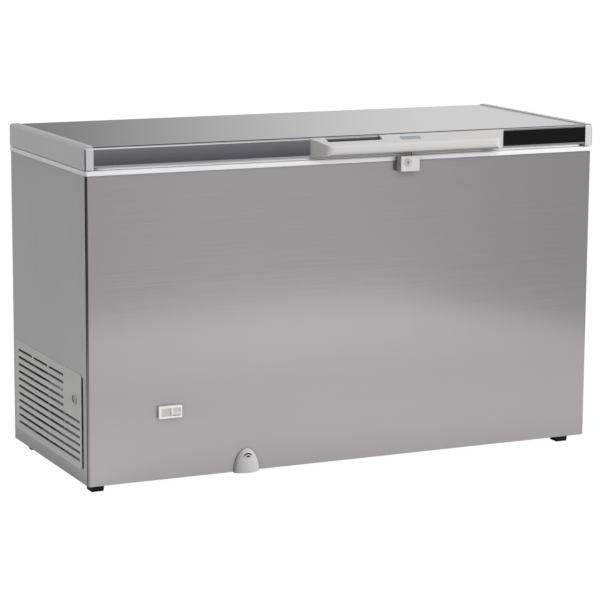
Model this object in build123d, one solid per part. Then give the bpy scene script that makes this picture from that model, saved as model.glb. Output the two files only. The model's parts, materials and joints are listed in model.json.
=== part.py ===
from build123d import *
import math
import os

# Chest freezer in millimetres: X to the right, Y to the back, Z up, origin on the floor under its middle.

# Clearances
loose = 0.3  # between pieces that only lie side by side
running = 0.05  # radial, round a pin or shaft
sliding = 0.4  # round a piece that slides or tilts
snug = 0.1  # round a screw, or a lens that is pushed in
over = 1.0  # how far a cut runs past a face

# Cabinet
cabinet_w = 1500.0  # outer width
cabinet_d = 605.0  # outer depth, front panel to rear panel
cabinet_h = 816.0  # underside of the base to the top frame
foot_h = 28.0  # floor to the underside of the base
sheet_t = 1.0  # steel panels
base_t = 1.5  # base plate
wall_t = 65.0  # outer face of a panel to the inner face of the liner
floor_t = 65.0  # underside of the base to the inner face of the liner's floor
liner_t = 1.5  # liner sheet
liner_r = 26.0  # its upright corners, inside
hem_d = 7.0  # front panel's hem, from its face back to the seam
bend_r = 5.0  # its upright bends, outside
seam_w = 4.0  # open seam between the front panel and a side panel
seam_d = 5.0  # depth of that seam
return_l = 22.0  # front panel's hidden return behind a side panel

# Top frame
frame_h = 12.0  # height of its outer skirt
frame_out = 3.0  # skirt thickness, which stands out from the panels
frame_top_t = 4.0  # its top plate
frame_lip_t = 3.0  # its inner lip, which covers the liner's edge
frame_lip_h = 26.0  # depth of that lip below the top
frame_corner_r = 7.0
frame_edge_r = 2.5

# Compressor bay, at the left end behind the grille
bay_w = 300.0
bay_h = 292.0
bay_foam_t = 56.0  # insulation between the bay and the liner's step

# Lid
lid_gap = 8.0  # top frame to the lid's lower edge, filled by the gasket
lid_h = 54.0  # its lower edge to its steel top
flange_h = 7.5  # inner panel's flange, inside the steel
lid_fold_r = 7.0  # bend between the top and the front
cap_w = 24.0  # end cap, along the lid
cap_out = 3.5  # overhang of an end cap beyond the cabinet's side
cap_proud = 2.5  # its front edge ahead of the steel face
cap_wall = 4.0
cap_rise = 2.5  # its top above the steel
cap_drop = 5.5  # its lower edge below the lid's
cap_corner_r = 6.0
cap_top_r = 10.0
cap_groove_d = 8.0  # upright groove beside its front edge
cap_groove_w = 2.2
cap_lip = 1.0  # outside that groove
panel_t = 2.5  # inner panel's wall
plug_drop = 20.0  # inner panel's middle below the lid's lower edge
plug_gap = 8.0  # that middle to the top frame's lip
plug_corner_r = 14.0
plug_edge_r = 5.0
gasket_w = 18.0
gasket_inset = 4.0  # gasket behind the lid's front and rear faces
strip_t = 1.5  # front strip and front panel
strip_low = 5.0  # steel left bare under a strip
strip_high = 7.5  # and over it
strip_edge = 0.375

# Handle, right of the middle
handle_x = 173.0
handle_l = 589.0
handle_out = 45.0
handle_taper = 39.0  # each end, measured along the lid
handle_low = 2.5  # its lower edge above the lid's
handle_below_top = 3.0  # its upper edge below the steel top
handle_front_drop = 19.0  # fall of its top from the lid to its front edge
handle_wall = 4.0
handle_hollow_h = 20.0  # finger hollow, up from the lower edge
handle_end_r = 26.0
handle_top_r = 8.0
handle_low_r = 16.0
pocket_x = -169.5  # finger pocket in the top, from the handle's middle
pocket_l = 162.0
pocket_w = 23.0  # from the lid's face, to which it is open
pocket_r = 6.0
pocket_depth = 20.0  # below the handle's upper edge
pocket_lap = 5.0  # lid's front strip beyond it
plate_x = -3.0  # blank plate on the handle's top, from its middle
plate_l = 59.0
plate_w = 15.0
plate_t = 1.0
plate_r = 2.0
plate_out = 20.0
plate_glue = 0.1  # adhesive under it

# Lock, under the handle
lock_x = -5.0  # from the handle's middle
lock_w = 57.5
lock_h = 42.0
lock_out = 25.0
lock_rise = 1.5  # its top above the top frame
lock_edge_r = 2.5
cylinder_x = -8.0  # key cylinder, from the lock's middle
cylinder_z = -17.5  # and from the lock's top
cylinder_r = 11.0
cylinder_proud = 1.0
cylinder_edge = 0.8
keyway_w = 2.2
keyway_h = 9.0
keyway_d = 7.0
drive_pin_r = 2.0
bolt_travel = 9.0
bolt_l = 22.0
bolt_h = 5.0
bolt_w = 6.0
bolt_z = -7.0  # bolt's middle, from the lock's top
bolt_y = 8.0  # bolt's middle, ahead of the cabinet's front
bolt_tab_h = 7.5
bolt_tab_wall = 2.0
bolt_fork_rise = 2.0  # fork's slot into the bolt
bolt_room = 1.0  # behind the bolt at rest
bolt_tab_room = 2.0  # under its fork
striker_leg = 3.0
striker_foot = 8.0
striker_w = 5.0
striker_foot_h = 3.0
striker_gap = 1.5  # bolt's end to the hook's foot at rest
striker_room = 1.0  # round the hook, in the lock

# Control bezel, low on the left of the front
control_in = 226.5  # its middle, from the left panel
control_z = 182.0  # above the underside of the base
control_w = 66.0
control_h = 33.5
control_out = 9.0
control_r = 3.0
control_edge_r = 1.5
window_w = 28.0
window_h = 21.5
window_x = -12.0  # from the bezel's middle
window_deep = 2.0  # lens behind the bezel's face
window_edge = 0.8
rocker_slot_w = 22.0
rocker_x = 17.0
rocker_tilt = 7.0  # degrees each way
rocker_pin_r = 1.6
rocker_pin_l = 1.6
rocker_pin_end = 0.2  # room at the end of a pin
rocker_pin_out = 2.0  # pins ahead of the front panel
rocker_back = 3.0  # rocker behind its pins
rocker_back_h = 8.0
rocker_shoulder = 2.0  # its shoulders ahead of the pins
rocker_end = 1.5  # its ends from the slot's
rocker_dip = 1.8  # hollow of its face
rocker_room_d = 6.0  # recess behind it
rocker_room_h = 16.0
switch_depth = 34.0
switch_wall = 3.0

# Side grille, over the bay on the left
grille_front = 46.0  # cabinet's front to the grille's front edge
grille_l = 536.0
grille_low = 35.0  # underside of the base to the grille
grille_h = 254.0
grille_proud = 2.0  # in front of the side panel
grille_deep = 3.0  # into the opening
grille_lap = 6.0  # overlap on the side panel
grille_slit = 9.0  # finger slit along the grille's front edge
grille_corner_r = 8.0
slot_rows = 11
slot_short_rows = 5  # upper rows, which stop short of the thermostat
slot_pitch = 20.5
slot_h = 7.0
slot_top = 26.0  # grille's top to the first row
slot_rear = 25.0  # grille's rear edge to the slots
slot_l = 119.0
slot_bridge = 7.0
slot_short = 3  # slots in a short row
slot_long = 4
bridge_proud = 2.4  # how far the bridges of the lower rows are set back

# Thermostat
knob_front = 95.0  # cabinet's front to the knob
knob_z = 217.0  # above the underside of the base
knob_r = 13.0
knob_t = 8.5
knob_proud = 4.0  # its face ahead of the grille's
knob_edge = 0.8
knob_dish_r = 10.4
knob_dish_d = 2.5
knob_slot_w = 3.0
knob_slot_d = 2.0
knob_slot_l = 16.0
knob_shaft_r = 3.0
knob_shaft_l = 16.5
knob_shaft_room = 2.0  # beyond its end
thermostat_w = 44.0
thermostat_h = 40.0
thermostat_d = 36.0
thermostat_r = 3.0

# Drain
drain_left = 447.0  # drain's middle, from the left panel
drain_in = 46.0  # liner's front wall to the drain
drain_cover_w = 74.0
drain_cover_h = 64.0
drain_cover_out = 20.0
drain_cover_low = 2.0  # below the underside of the base
drain_cover_t = 2.5
drain_arcs = (13.0, 6.5)  # radii of the two slits
drain_arc_z = 36.0  # their centre above the base
drain_arc_w = 3.5
drain_arc_half = 0.8  # half a slit's width, for a radius of 1
drain_arc_rise = 0.7  # and half the height that it keeps to
drain_r = 9.0  # outside of the pipe
drain_bore = 7.0
drain_z = 24.0  # outlet above the underside of the base
drain_bend = 18.0
drain_end = 6.0  # outlet ahead of the front panel
stopper_r = 13.0
stopper_t = 4.0
stopper_edge_r = 1.5
stopper_l = 18.0
stopper_knob_r = 4.0
stopper_knob_h = 7.0

# Feet and rollers
foot_w = 38.0
foot_draw = 2.0  # taper of each side, from top to sole
foot_edge_r = 2.5
foot_back = 47.0  # cabinet's front to a foot
foot_in = 23.0  # cabinet's side to a foot
roller_r = 28.0
roller_w = 22.0
roller_edge_r = 3.0
roller_side = 39.0  # cabinet's side to a roller's middle
roller_rear = 46.0  # cabinet's rear to a roller's axle
axle_r = 5.0
axle_head_r = 8.0
axle_head_t = 2.0
bracket_t = 2.0
bracket_gap = 3.0  # round a roller
bracket_flange = 10.0
bracket_cheek = 9.0  # cheeks below the axle

# Hinges
hinge_x = 470.0  # each side of the middle
hinge_w = 66.0
hinge_t = 3.0
hinge_back = 15.0  # pin behind the cabinet
hinge_up = 4.0  # pin above the top frame
hinge_knuckle_r = 8.0
hinge_pin_r = 4.0
hinge_pin_head_t = 2.5
hinge_pin_head_r = 6.0
hinge_ear_t = 5.0
hinge_knuckle_l = 9.0
hinge_base_h = 86.0
hinge_base_low = 16.0  # top of its plate below the top frame
hinge_web_h = 43.0  # foot of an ear, down its plate
hinge_leaf_h = 36.0
hinge_leaf_web_h = 18.0
spring_wire_r = 1.1
spring_turns = 7
spring_pitch = 3.2
spring_leg = 13.0
spring_gap = 0.5  # round the pin
spring_bar_t = 3.0  # bar that takes a leg
spring_bar_h = 4.0
spring_bar_low = 1.0  # base's bar below its leg's end
screw_r = 2.0
screw_head_r = 4.2
screw_head_t = 2.0
screw_edge_r = 0.8
screw_l = 9.0
screw_in = 10.0  # from the edge of a hinge plate
screw_rise = 23.0  # between a base's two rows
screw_pitch = 13.0  # along a leaf

# Compressor and cooling circuit
comp_x = 150.0  # from the left panel
comp_y = 345.0  # from the front panel
comp_a = 74.0  # half its width
comp_b = 100.0  # half its length
comp_h = 172.0
comp_wall = 4.0
comp_round = 34.0
comp_seam_out = 5.0
comp_seam_t = 5.0
comp_plate_t = 4.0
comp_plate_edge = 2.0  # beyond its grommets
comp_foot_x = 62.0  # mounting holes, from its middle
comp_foot_y = 104.0
grommet_r = 12.0
grommet_h = 16.0
grommet_edge_r = 2.0
comp_bolt_r = 4.0
comp_bolt_head_r = 7.0
comp_bolt_head_t = 5.0
relay_w = 46.0
relay_l = 70.0
relay_h = 64.0
relay_r = 6.0
relay_bite = 14.0  # its back follows the shell
line_r = 4.0
cap_tube_r = 1.5
cap_tube_bend = 6.0
line_bend = 18.0
line_gap = 0.2  # hole round a line where it passes through foam
evap_pitch = 58.0
evap_low = 34.0  # lowest turn above the liner's step
evap_high = 60.0  # least room over the last turn, under the top frame's lip
evap_down = 40.0  # inlet and outlet below the top of the bay
evap_in = 250.0  # inlet and outlet, from the front panel
evap_out = 330.0
evap_step = 14.0  # return pipe outside the turns
cond_bend = 9.0
cond_pitch = 90.0
cond_low = 50.0  # lowest run above the bay
cond_high = 20.0  # least room over the last run, under the hinges
cond_in = 30.0  # inlet, left of the runs
cond_down = 60.0  # inlet below the top of the bay
drier_off = 16.0  # drier ahead of the condenser
drier_side = 18.8  # and right of the evaporator's inlet
stub_x = 20.0  # compressor's stubs, from its middle
stub_y = 40.0
cond_side = 90.0  # runs from the right panel
cond_left = 150.0  # runs from the left panel
discharge_dip = 2.0  # bends of the lines below what they join
suction_dip = 10.0
capillary_dip = 5.0
drier_r = 10.0
drier_l = 110.0
drier_neck = 18.0
drier_neck_wall = 1.0  # round the capillary tube
gland_x = 150.0  # mains lead gland, from the left panel
gland_z = 86.0  # above the underside of the base
gland_r = 9.0
gland_flange_r = 14.0
gland_flange_t = 4.0
gland_edge_r = 1.5
gland_bore = 4.5
gland_l = 16.0

# Levels and faces that several pieces share
half_w = cabinet_w / 2
y_front = (handle_out - cabinet_d - hinge_back - hinge_knuckle_r) / 2
y_rear = y_front + cabinet_d
z_base = foot_h
z_frame = z_base + cabinet_h
z_top = z_frame + frame_h
z_under = z_top - frame_top_t
z_lid = z_top + lid_gap
z_flange = z_lid + flange_h
z_steel = z_lid + lid_h
z_floor = z_base + floor_t
x_bay = -half_w + sheet_t + bay_w
z_bay = z_base + base_t + bay_h
x_step = x_bay + sheet_t + bay_foam_t + liner_t
z_step = z_bay + sheet_t + bay_foam_t + liner_t
in_w = half_w - wall_t
y_in = (y_front + wall_t, y_rear - wall_t)
x_cap = half_w + cap_out
x_core = x_cap - cap_wall
x_cap_in = x_cap - cap_w
z_plug = z_lid - plug_drop
pin_y = y_rear + hinge_back
pin_z = z_top + hinge_up
handle_z = z_lid + handle_low
handle_top = z_steel - handle_below_top
lock_mid = handle_x + lock_x
lock_top = z_top + lock_rise
cylinder_mid = lock_mid + cylinder_x
crank = bolt_travel / math.sqrt(2)
knob_y = y_front + knob_front
control_x = -half_w + control_in
drain_x = -half_w + drain_left
hinge_z = (z_frame - hinge_base_low - hinge_base_h, z_frame - hinge_base_low)
evap_turns = int((z_top - frame_lip_h - evap_high - z_step - evap_low) // evap_pitch)
cond_rows = int((hinge_z[0] - cond_high - z_bay - cond_low) // cond_pitch) + 1
cond_runs = cond_rows - cond_rows % 2
comp_mid = (-half_w + comp_x, y_front + comp_y)
comp_z = z_base + base_t + grommet_h


def block(x, y, z):
    size = [high - low for low, high in (x, y, z)]
    middle = [(high + low) / 2 for low, high in (x, y, z)]
    return Pos(*middle) * Box(*size)


def upright_block(x, y, z, radius):
    solid = block(x, y, z)
    return fillet(solid.edges().filter_by(Axis.Z), radius)


def rod(start, direction, radius, length):
    return Plane(start, z_dir=direction) * Cylinder(
        radius, length, align=(Align.CENTER, Align.CENTER, Align.MIN)
    )


def tube(points, radius, bend):
    path = FilletPolyline(*points, radius=bend)
    return sweep(Plane(path @ 0, z_dir=path % 0) * Circle(radius), path=path)


def prism_x(points, x):
    face = Plane.YZ * make_face(Polyline(*points, close=True))
    return Pos(x[0], 0, 0) * extrude(face, amount=x[1] - x[0], dir=(1, 0, 0))


def prism_z(points, z):
    face = make_face(Polyline(*points, close=True))
    return Pos(0, 0, z[0]) * extrude(face, amount=z[1] - z[0], dir=(0, 0, 1))


def front_corners():
    # the folded edge of the front panel, kept free by its neighbours
    deep = (y_front - over, y_front + hem_d + return_l)
    tall = (z_base - over, z_top)
    sides = ((-half_w - over, -half_w + seam_d), (half_w - seam_d, half_w + over))
    return [block(x, deep, tall) for x in sides]


# Cabinet panels
def bent_block(half, y, z, radius):
    solid = block((-half, half), y, z)
    return fillet(solid.edges().filter_by(Axis.Z).sort_by(Axis.Y)[:2], radius)


def front_panel():
    z = (z_base, z_under)
    past = (z_base - over, z_under + over)
    step = y_front + hem_d
    wide = half_w - sheet_t
    shelf = half_w - seam_d
    panel = bent_block(half_w, (y_front, step), z, bend_r)
    panel -= bent_block(wide, (y_front + sheet_t, step - sheet_t), past, bend_r - sheet_t)
    panel -= block((-shelf, shelf), (step - sheet_t, step + over), past)
    for side in (-1, 1):
        inner = sorted((side * shelf, side * (shelf + sheet_t)))
        panel += block(inner, (step - sheet_t, step + return_l), z)
    outlet = (drain_x, y_front - over, z_base + drain_z)
    panel -= rod(outlet, (0, 1, 0), drain_r + loose, sheet_t + 2 * over)
    cut_w = control_w / 2 - switch_wall + loose
    cut_h = control_h / 2 - switch_wall + loose
    panel -= block(
        (control_x - cut_w, control_x + cut_w),
        (y_front - over, y_front + sheet_t + over),
        (z_base + control_z - cut_h, z_base + control_z + cut_h),
    )
    return panel


def side_panel(side):
    z = (z_base, z_under)
    start = y_front + hem_d + seam_w
    sheet = sorted((side * half_w, side * (half_w - sheet_t)))
    fold = sorted((side * half_w, side * (half_w - seam_d + sheet_t)))
    return block(sheet, (start, y_rear), z) + block(fold, (start, start + sheet_t), z)


def grille_frame(inset):
    y = (y_front + grille_front + inset, y_front + grille_front + grille_l - inset)
    z = (z_base + grille_low + inset, z_base + grille_low + grille_h - inset)
    return y, z


def left_side_panel():
    y, z = grille_frame(grille_lap)
    y = (y_front + grille_front - grille_slit, y[1])
    return side_panel(-1) - block((-half_w - over, -half_w + sheet_t + over), y, z)


def rear_panel():
    panel = block(
        (-half_w + sheet_t, half_w - sheet_t), (y_rear - sheet_t, y_rear), (z_base, z_under)
    )
    start = (-half_w + gland_x, y_rear - sheet_t - over, z_base + gland_z)
    panel -= rod(start, (0, 1, 0), gland_r + loose, sheet_t + 2 * over)
    for screw in hinge_screws(base_screw_places(), snug):
        panel -= screw
    return panel


def base_plate():
    plate = block(
        (-half_w + sheet_t, half_w - sheet_t),
        (y_front + sheet_t, y_rear - sheet_t),
        (z_base, z_base + base_t),
    )
    for corner in front_corners():
        plate -= corner
    for side in (-1, 1):
        plate -= bracket_room(side)
    return plate


def liner_room(grow):
    # the storage space, grown by the liner's thickness for its outside
    x = (-in_w - grow, in_w + grow)
    y = (y_in[0] - grow, y_in[1] + grow)
    upper = upright_block(x, y, (z_step - grow, z_under), liner_r + grow)
    return upper + upright_block((x_step - grow, x[1]), y, (z_floor - grow, z_under), liner_r + grow)


def inner_liner():
    liner = liner_room(liner_t) - liner_room(0)
    start = (drain_x, drain_y(), z_floor - liner_t - over)
    return liner - rod(start, (0, 0, 1), drain_bore, liner_t + 2 * over)


def cabinet_insulation():
    x = (-half_w + sheet_t, half_w - sheet_t)
    y = (y_front + sheet_t, y_rear - sheet_t)
    foam = block(x, y, (z_base + base_t, z_under))
    foam -= block((x[0] - over, x_bay + sheet_t), (y[0] - over, y[1] + over), (z_base, z_bay + sheet_t))
    foam -= liner_room(liner_t)
    for corner in front_corners():
        foam -= corner
    foam -= bracket_room(1)
    foam -= tube(drain_points(), drain_r + line_gap, drain_bend)
    foam -= evaporator_coil(line_gap)
    foam -= condenser_coil(line_gap)
    for screw in hinge_screws(base_screw_places(), snug):
        foam -= screw
    return foam


def bay_liner():
    x = (-half_w + sheet_t, x_bay + sheet_t)
    y = (y_front + sheet_t, y_rear - sheet_t)
    lining = block(x, y, (z_bay, z_bay + sheet_t))
    lining += block((x_bay, x_bay + sheet_t), y, (z_base + base_t, z_bay + sheet_t))
    for corner in front_corners():
        lining -= corner
    return lining - evaporator_coil(line_gap) - condenser_coil(line_gap)


def top_frame():
    x = half_w + frame_out
    y = (y_front - frame_out, y_rear + frame_out)
    frame = upright_block((-x, x), y, (z_frame, z_top), frame_corner_r)
    frame = fillet(frame.faces().sort_by(Axis.Z)[-1].edges(), frame_edge_r)
    low = z_top - frame_lip_h
    frame += upright_block((-in_w, in_w), y_in, (low, z_top), liner_r)
    channel = block((-half_w, half_w), (y_front, y_rear), (low - over, z_under))
    frame -= channel - upright_block((-in_w, in_w), y_in, (low - 2 * over, z_top), liner_r)
    mouth = in_w - frame_lip_t
    y = (y_in[0] + frame_lip_t, y_in[1] - frame_lip_t)
    z = (low - over, z_top + over)
    return frame - upright_block((-mouth, mouth), y, z, liner_r - frame_lip_t)


# Side grille and thermostat
def slot_cuts(rows, count, x, joined):
    y_last = y_front + grille_front + grille_l - slot_rear
    top = z_base + grille_low + grille_h - slot_top
    cuts = []
    for row in rows:
        z = top - row * slot_pitch
        step = slot_l + slot_bridge
        for place in range(count):
            end = y_last - place * step
            start = end - slot_l - (slot_bridge if joined and place < count - 1 else 0)
            cuts.append(block(x, (start, end), (z - slot_h / 2, z + slot_h / 2)))
    return cuts


def side_grille():
    face = -half_w - grille_proud
    back = -half_w + grille_deep
    y, z = grille_frame(0)
    grille = block((face, -half_w), y, z)
    grille = fillet(grille.edges().filter_by(Axis.X), grille_corner_r)
    y, z = grille_frame(grille_lap + loose)
    grille += block((-half_w, back), y, z)
    upper, lower = range(slot_short_rows), range(slot_short_rows, slot_rows)
    through = (face - over, back + over)
    cuts = slot_cuts(upper, slot_short, through, False)
    cuts += slot_cuts(lower, slot_long, through, False)
    shallow = (face - over, face + bridge_proud)
    cuts += slot_cuts(range(1, slot_short_rows), slot_short, shallow, True)
    cuts += slot_cuts(lower, slot_long, shallow, True)
    grille -= cuts
    start = (face - over, knob_y, z_base + knob_z)
    return grille - rod(start, (1, 0, 0), knob_r + sliding, back - face + 2 * over)


def thermostat_body():
    start = -half_w + grille_deep
    body = block(
        (start, start + thermostat_d),
        (knob_y - thermostat_w / 2, knob_y + thermostat_w / 2),
        (z_base + knob_z - thermostat_h / 2, z_base + knob_z + thermostat_h / 2),
    )
    body = fillet(body.edges().filter_by(Axis.X), thermostat_r)
    hole = knob_shaft_l - knob_proud - grille_proud - grille_deep + knob_shaft_room
    return body - rod((start, knob_y, z_base + knob_z), (1, 0, 0), knob_shaft_r + running, hole)


def thermostat_knob():
    face = -half_w - grille_proud - knob_proud
    start = (face, knob_y, z_base + knob_z)
    knob = rod(start, (1, 0, 0), knob_r, knob_t)
    knob = chamfer(knob.faces().sort_by(Axis.X)[0].edges(), knob_edge)
    knob += rod(start, (1, 0, 0), knob_shaft_r, knob_shaft_l)
    knob -= rod(start, (1, 0, 0), knob_dish_r, knob_dish_d)
    half = knob_slot_w / 2
    reach = knob_slot_l / 2
    return knob - block(
        (face - over, face + knob_dish_d + knob_slot_d),
        (knob_y - half, knob_y + half),
        (start[2] - reach, start[2] + reach),
    )


# Control bezel and switch
def control_bezel():
    z = z_base + control_z
    bezel = block(
        (control_x - control_w / 2, control_x + control_w / 2),
        (y_front - control_out, y_front),
        (z - control_h / 2, z + control_h / 2),
    )
    bezel = fillet(bezel.edges().filter_by(Axis.Y), control_r)
    bezel = fillet(bezel.faces().sort_by(Axis.Y)[0].edges(), control_edge_r)
    for middle, width in ((window_x, window_w), (rocker_x, rocker_slot_w)):
        x = control_x + middle
        bezel -= block(
            (x - width / 2, x + width / 2),
            (y_front - control_out - over, y_front + over),
            (z - window_h / 2, z + window_h / 2),
        )
    return bezel - rocker_pins(running, rocker_pin_end)


def rocker_axis():
    return (control_x + rocker_x, y_front - rocker_pin_out, z_base + control_z)


def rocker_pins(grow, longer):
    x, y, z = rocker_axis()
    reach = rocker_slot_w + 2 * rocker_pin_l + 2 * longer - 2 * sliding
    return rod((x - reach / 2, y, z), (1, 0, 0), rocker_pin_r + grow, reach)


def rocker_switch():
    x, y, z = rocker_axis()
    half = window_h / 2 - rocker_end
    back = rocker_back_h / 2
    out = control_out - rocker_pin_out
    wide = rocker_slot_w / 2 - sliding
    outline = [
        (rocker_back, -back),
        (rocker_back, back),
        (-rocker_shoulder, half),
        (-out, half),
        (rocker_dip - out, 0),
        (-out, -half),
        (-rocker_shoulder, -half),
    ]
    rocker = prism_x(outline, (-wide, wide))
    rocker = Pos(x, y, z) * (Rot(-rocker_tilt, 0, 0) * rocker)
    return rocker + rocker_pins(0, 0)


def switch_box():
    z = z_base + control_z
    w = control_w / 2 - switch_wall
    h = control_h / 2 - switch_wall
    box = block(
        (control_x - w, control_x + w), (y_front, y_front + switch_depth), (z - h, z + h)
    )
    x = control_x + rocker_x
    room = rocker_slot_w / 2
    tall = rocker_room_h / 2
    deep = (y_front - over, y_front + rocker_room_d)
    return box - block((x - room, x + room), deep, (z - tall, z + tall))


def indicator_window():
    z = z_base + control_z
    x = control_x + window_x
    w = window_w / 2 - snug
    h = window_h / 2 - snug
    lens = block((x - w, x + w), (y_front - control_out + window_deep, y_front), (z - h, z + h))
    return chamfer(lens.faces().sort_by(Axis.Y)[0].edges(), window_edge)


# Drain
def drain_y():
    return y_in[0] + drain_in


def drain_points():
    z = z_base + drain_z
    return [
        (drain_x, drain_y(), z_floor - liner_t),
        (drain_x, drain_y(), z),
        (drain_x, y_front - drain_end, z),
    ]


def drain_pipe():
    pipe = tube(drain_points(), drain_r, drain_bend)
    return pipe - tube(drain_points(), drain_bore, drain_bend)


def drain_cover():
    low = z_base - drain_cover_low
    sizes = (drain_cover_w / 2, drain_cover_out, drain_cover_h)
    middle = Pos(drain_x, y_front, low)
    dome = scale(Sphere(1), by=sizes)
    room = scale(Sphere(1), by=tuple(size - drain_cover_t for size in sizes))
    dome = middle * (dome - room)
    reach = drain_cover_w
    half = block((-reach, reach), (-reach, 0), (0, 2 * reach))
    dome &= middle * half
    for radius in drain_arcs:
        ring = Circle(radius + drain_arc_w / 2) - Circle(radius - drain_arc_w / 2)
        wide, tall = 2 * drain_arc_half * radius, 2 * drain_arc_rise * radius
        ring &= Pos(0, radius, 0) * Rectangle(wide, tall)
        place = Plane((drain_x, y_front - reach, z_base + drain_arc_z), (1, 0, 0), (0, -1, 0))
        dome -= extrude(place * ring, amount=-reach)
    return dome


def drain_plug():
    start = (drain_x, drain_y(), z_floor)
    plug = rod(start, (0, 0, 1), stopper_r, stopper_t)
    plug = fillet(plug.faces().sort_by(Axis.Z)[-1].edges(), stopper_edge_r)
    plug += rod(start, (0, 0, 1), stopper_knob_r, stopper_t + stopper_knob_h)
    return plug + rod(start, (0, 0, -1), drain_bore - loose, stopper_l)


# Feet and rollers
def front_feet():
    feet = []
    for side in (-1, 1):
        x = side * (half_w - foot_in - foot_w / 2)
        y = y_front + foot_back + foot_w / 2
        sole = Rectangle(foot_w - 2 * foot_draw, foot_w - 2 * foot_draw)
        foot = loft([sole, Pos(0, 0, foot_h) * Rectangle(foot_w, foot_w)])
        foot = fillet(foot.faces().sort_by(Axis.Z)[0].edges(), foot_edge_r)
        feet.append(Pos(x, y, 0) * foot)
    return Compound(children=feet)


def roller_middle(side):
    return (side * (half_w - roller_side), y_rear - roller_rear, roller_r)


def bracket_sizes(grow):
    wide = roller_w / 2 + bracket_gap + grow
    long = roller_r + bracket_gap + grow
    return wide, long, 2 * roller_r + bracket_gap + grow


def bracket_room(side):
    x, y, z = roller_middle(side)
    wide, long, top = bracket_sizes(bracket_t)
    room = block((x - wide, x + wide), (y - long, y + long), (z_base - over, top))
    wide += axle_head_t + loose
    long = axle_head_r + loose
    return room + block((x - wide, x + wide), (y - long, y + long), (z_base - over, z + long))


def roller_bracket(side):
    x, y, z = roller_middle(side)
    wide, long, top = bracket_sizes(bracket_t)
    bracket = block((x - wide, x + wide), (y - long, y + long), (z_base - bracket_t, top))
    edge = bracket_flange
    bracket += block(
        (x - wide - edge, x + wide + edge),
        (y - long - edge, y + long + edge),
        (z_base - bracket_t, z_base),
    )
    cheek = axle_head_r + bracket_t
    bracket += block((x - wide, x + wide), (y - cheek, y + cheek), (z - bracket_cheek, z_base))
    wide, long, top = bracket_sizes(0)
    bracket -= block((x - wide, x + wide), (y - long, y + long), (0, top))
    return bracket - roller_axle(side)


def roller_axle(side):
    x, y, z = roller_middle(side)
    half = bracket_sizes(bracket_t)[0]
    axle = rod((x - half, y, z), (1, 0, 0), axle_r, 2 * half)
    for place, way in ((x - half, -1), (x + half, 1)):
        axle += rod((place, y, z), (way, 0, 0), axle_head_r, axle_head_t)
    return axle


def roller(side):
    x, y, z = roller_middle(side)
    wheel = rod((x - roller_w / 2, y, z), (1, 0, 0), roller_r, roller_w)
    wheel = fillet(wheel.edges(), roller_edge_r)
    hub = bracket_gap - loose
    wheel += rod((x - roller_w / 2 - hub, y, z), (1, 0, 0), axle_head_r, roller_w + 2 * hub)
    return wheel - rod((x - roller_w, y, z), (1, 0, 0), axle_r + running, 2 * roller_w)


# Hinges
def hinge_span(side):
    middle = side * hinge_x
    return middle - hinge_w / 2, middle + hinge_w / 2


def knuckle_plate(plate, x):
    # a web from a flat plate round the hinge pin
    low, high = plate
    square = Pos(y_rear + hinge_t / 2, (low + high) / 2) * Rectangle(hinge_t, high - low)
    round_end = Pos(pin_y, pin_z) * Circle(hinge_knuckle_r)
    face = make_hull(square.edges() + round_end.edges())
    return Pos(x[0], 0, 0) * extrude(Plane.YZ * face, amount=x[1] - x[0], dir=(1, 0, 0))


def hinge_base(side):
    x = hinge_span(side)
    high = hinge_z[1]
    base = block(x, (y_rear, y_rear + hinge_t), hinge_z)
    for ear in ((x[0], x[0] + hinge_ear_t), (x[1] - hinge_ear_t, x[1])):
        base += knuckle_plate((high - hinge_web_h, high), ear)
    clear = y_rear + frame_out + loose
    base -= block((x[0] - over, x[1] + over), (y_rear - over, clear), (high, z_lid))
    low = pin_z - spring_leg - spring_bar_low
    base += block(x, spring_bar_y(), (low, low + spring_bar_h))
    base -= pin_hole(x)
    for screw in hinge_screws(base_screw_places(side), snug):
        base -= screw
    return base


def pin_hole(x):
    start = (x[0] - over, pin_y, pin_z)
    return rod(start, (1, 0, 0), hinge_pin_r + running, x[1] - x[0] + 2 * over)


def leaf_z():
    return z_flange, z_flange + hinge_leaf_h


def hinge_leaf(side):
    x = hinge_span(side)
    low, high = leaf_z()
    inner = (x[0] + hinge_ear_t + loose, x[1] - hinge_ear_t - loose)
    leaf = block(inner, (y_rear, y_rear + hinge_t), (low, high))
    for start in (inner[0], inner[1] - hinge_knuckle_l):
        leaf += knuckle_plate((low, low + hinge_leaf_web_h), (start, start + hinge_knuckle_l))
    bar = pin_z + spring_leg
    leaf += block(inner, spring_bar_y(), (bar - spring_bar_h / 2, bar + spring_bar_h / 2))
    leaf -= pin_hole(x)
    for screw in hinge_screws(leaf_screw_places(side), snug):
        leaf -= screw
    return leaf


def hinge_pin(side):
    x = hinge_span(side)
    pin = rod((x[0], pin_y, pin_z), (1, 0, 0), hinge_pin_r, x[1] - x[0])
    for place, way in ((x[0], -1), (x[1], 1)):
        pin += rod((place, pin_y, pin_z), (way, 0, 0), hinge_pin_head_r, hinge_pin_head_t)
    return pin


def base_screw_places(side=0):
    low = hinge_z[0] + screw_in
    sides = (side,) if side else (-1, 1)
    return [
        (one * hinge_x + dx, y_rear + hinge_t, z)
        for one in sides
        for dx in (screw_in - hinge_w / 2, hinge_w / 2 - screw_in)
        for z in (low, low + screw_rise)
    ]


def leaf_screw_places(side=0):
    z = leaf_z()[1] - screw_in
    sides = (side,) if side else (-1, 1)
    return [
        (one * hinge_x + dx, y_rear + hinge_t, z)
        for one in sides
        for dx in (-screw_pitch, 0, screw_pitch)
    ]


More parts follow.
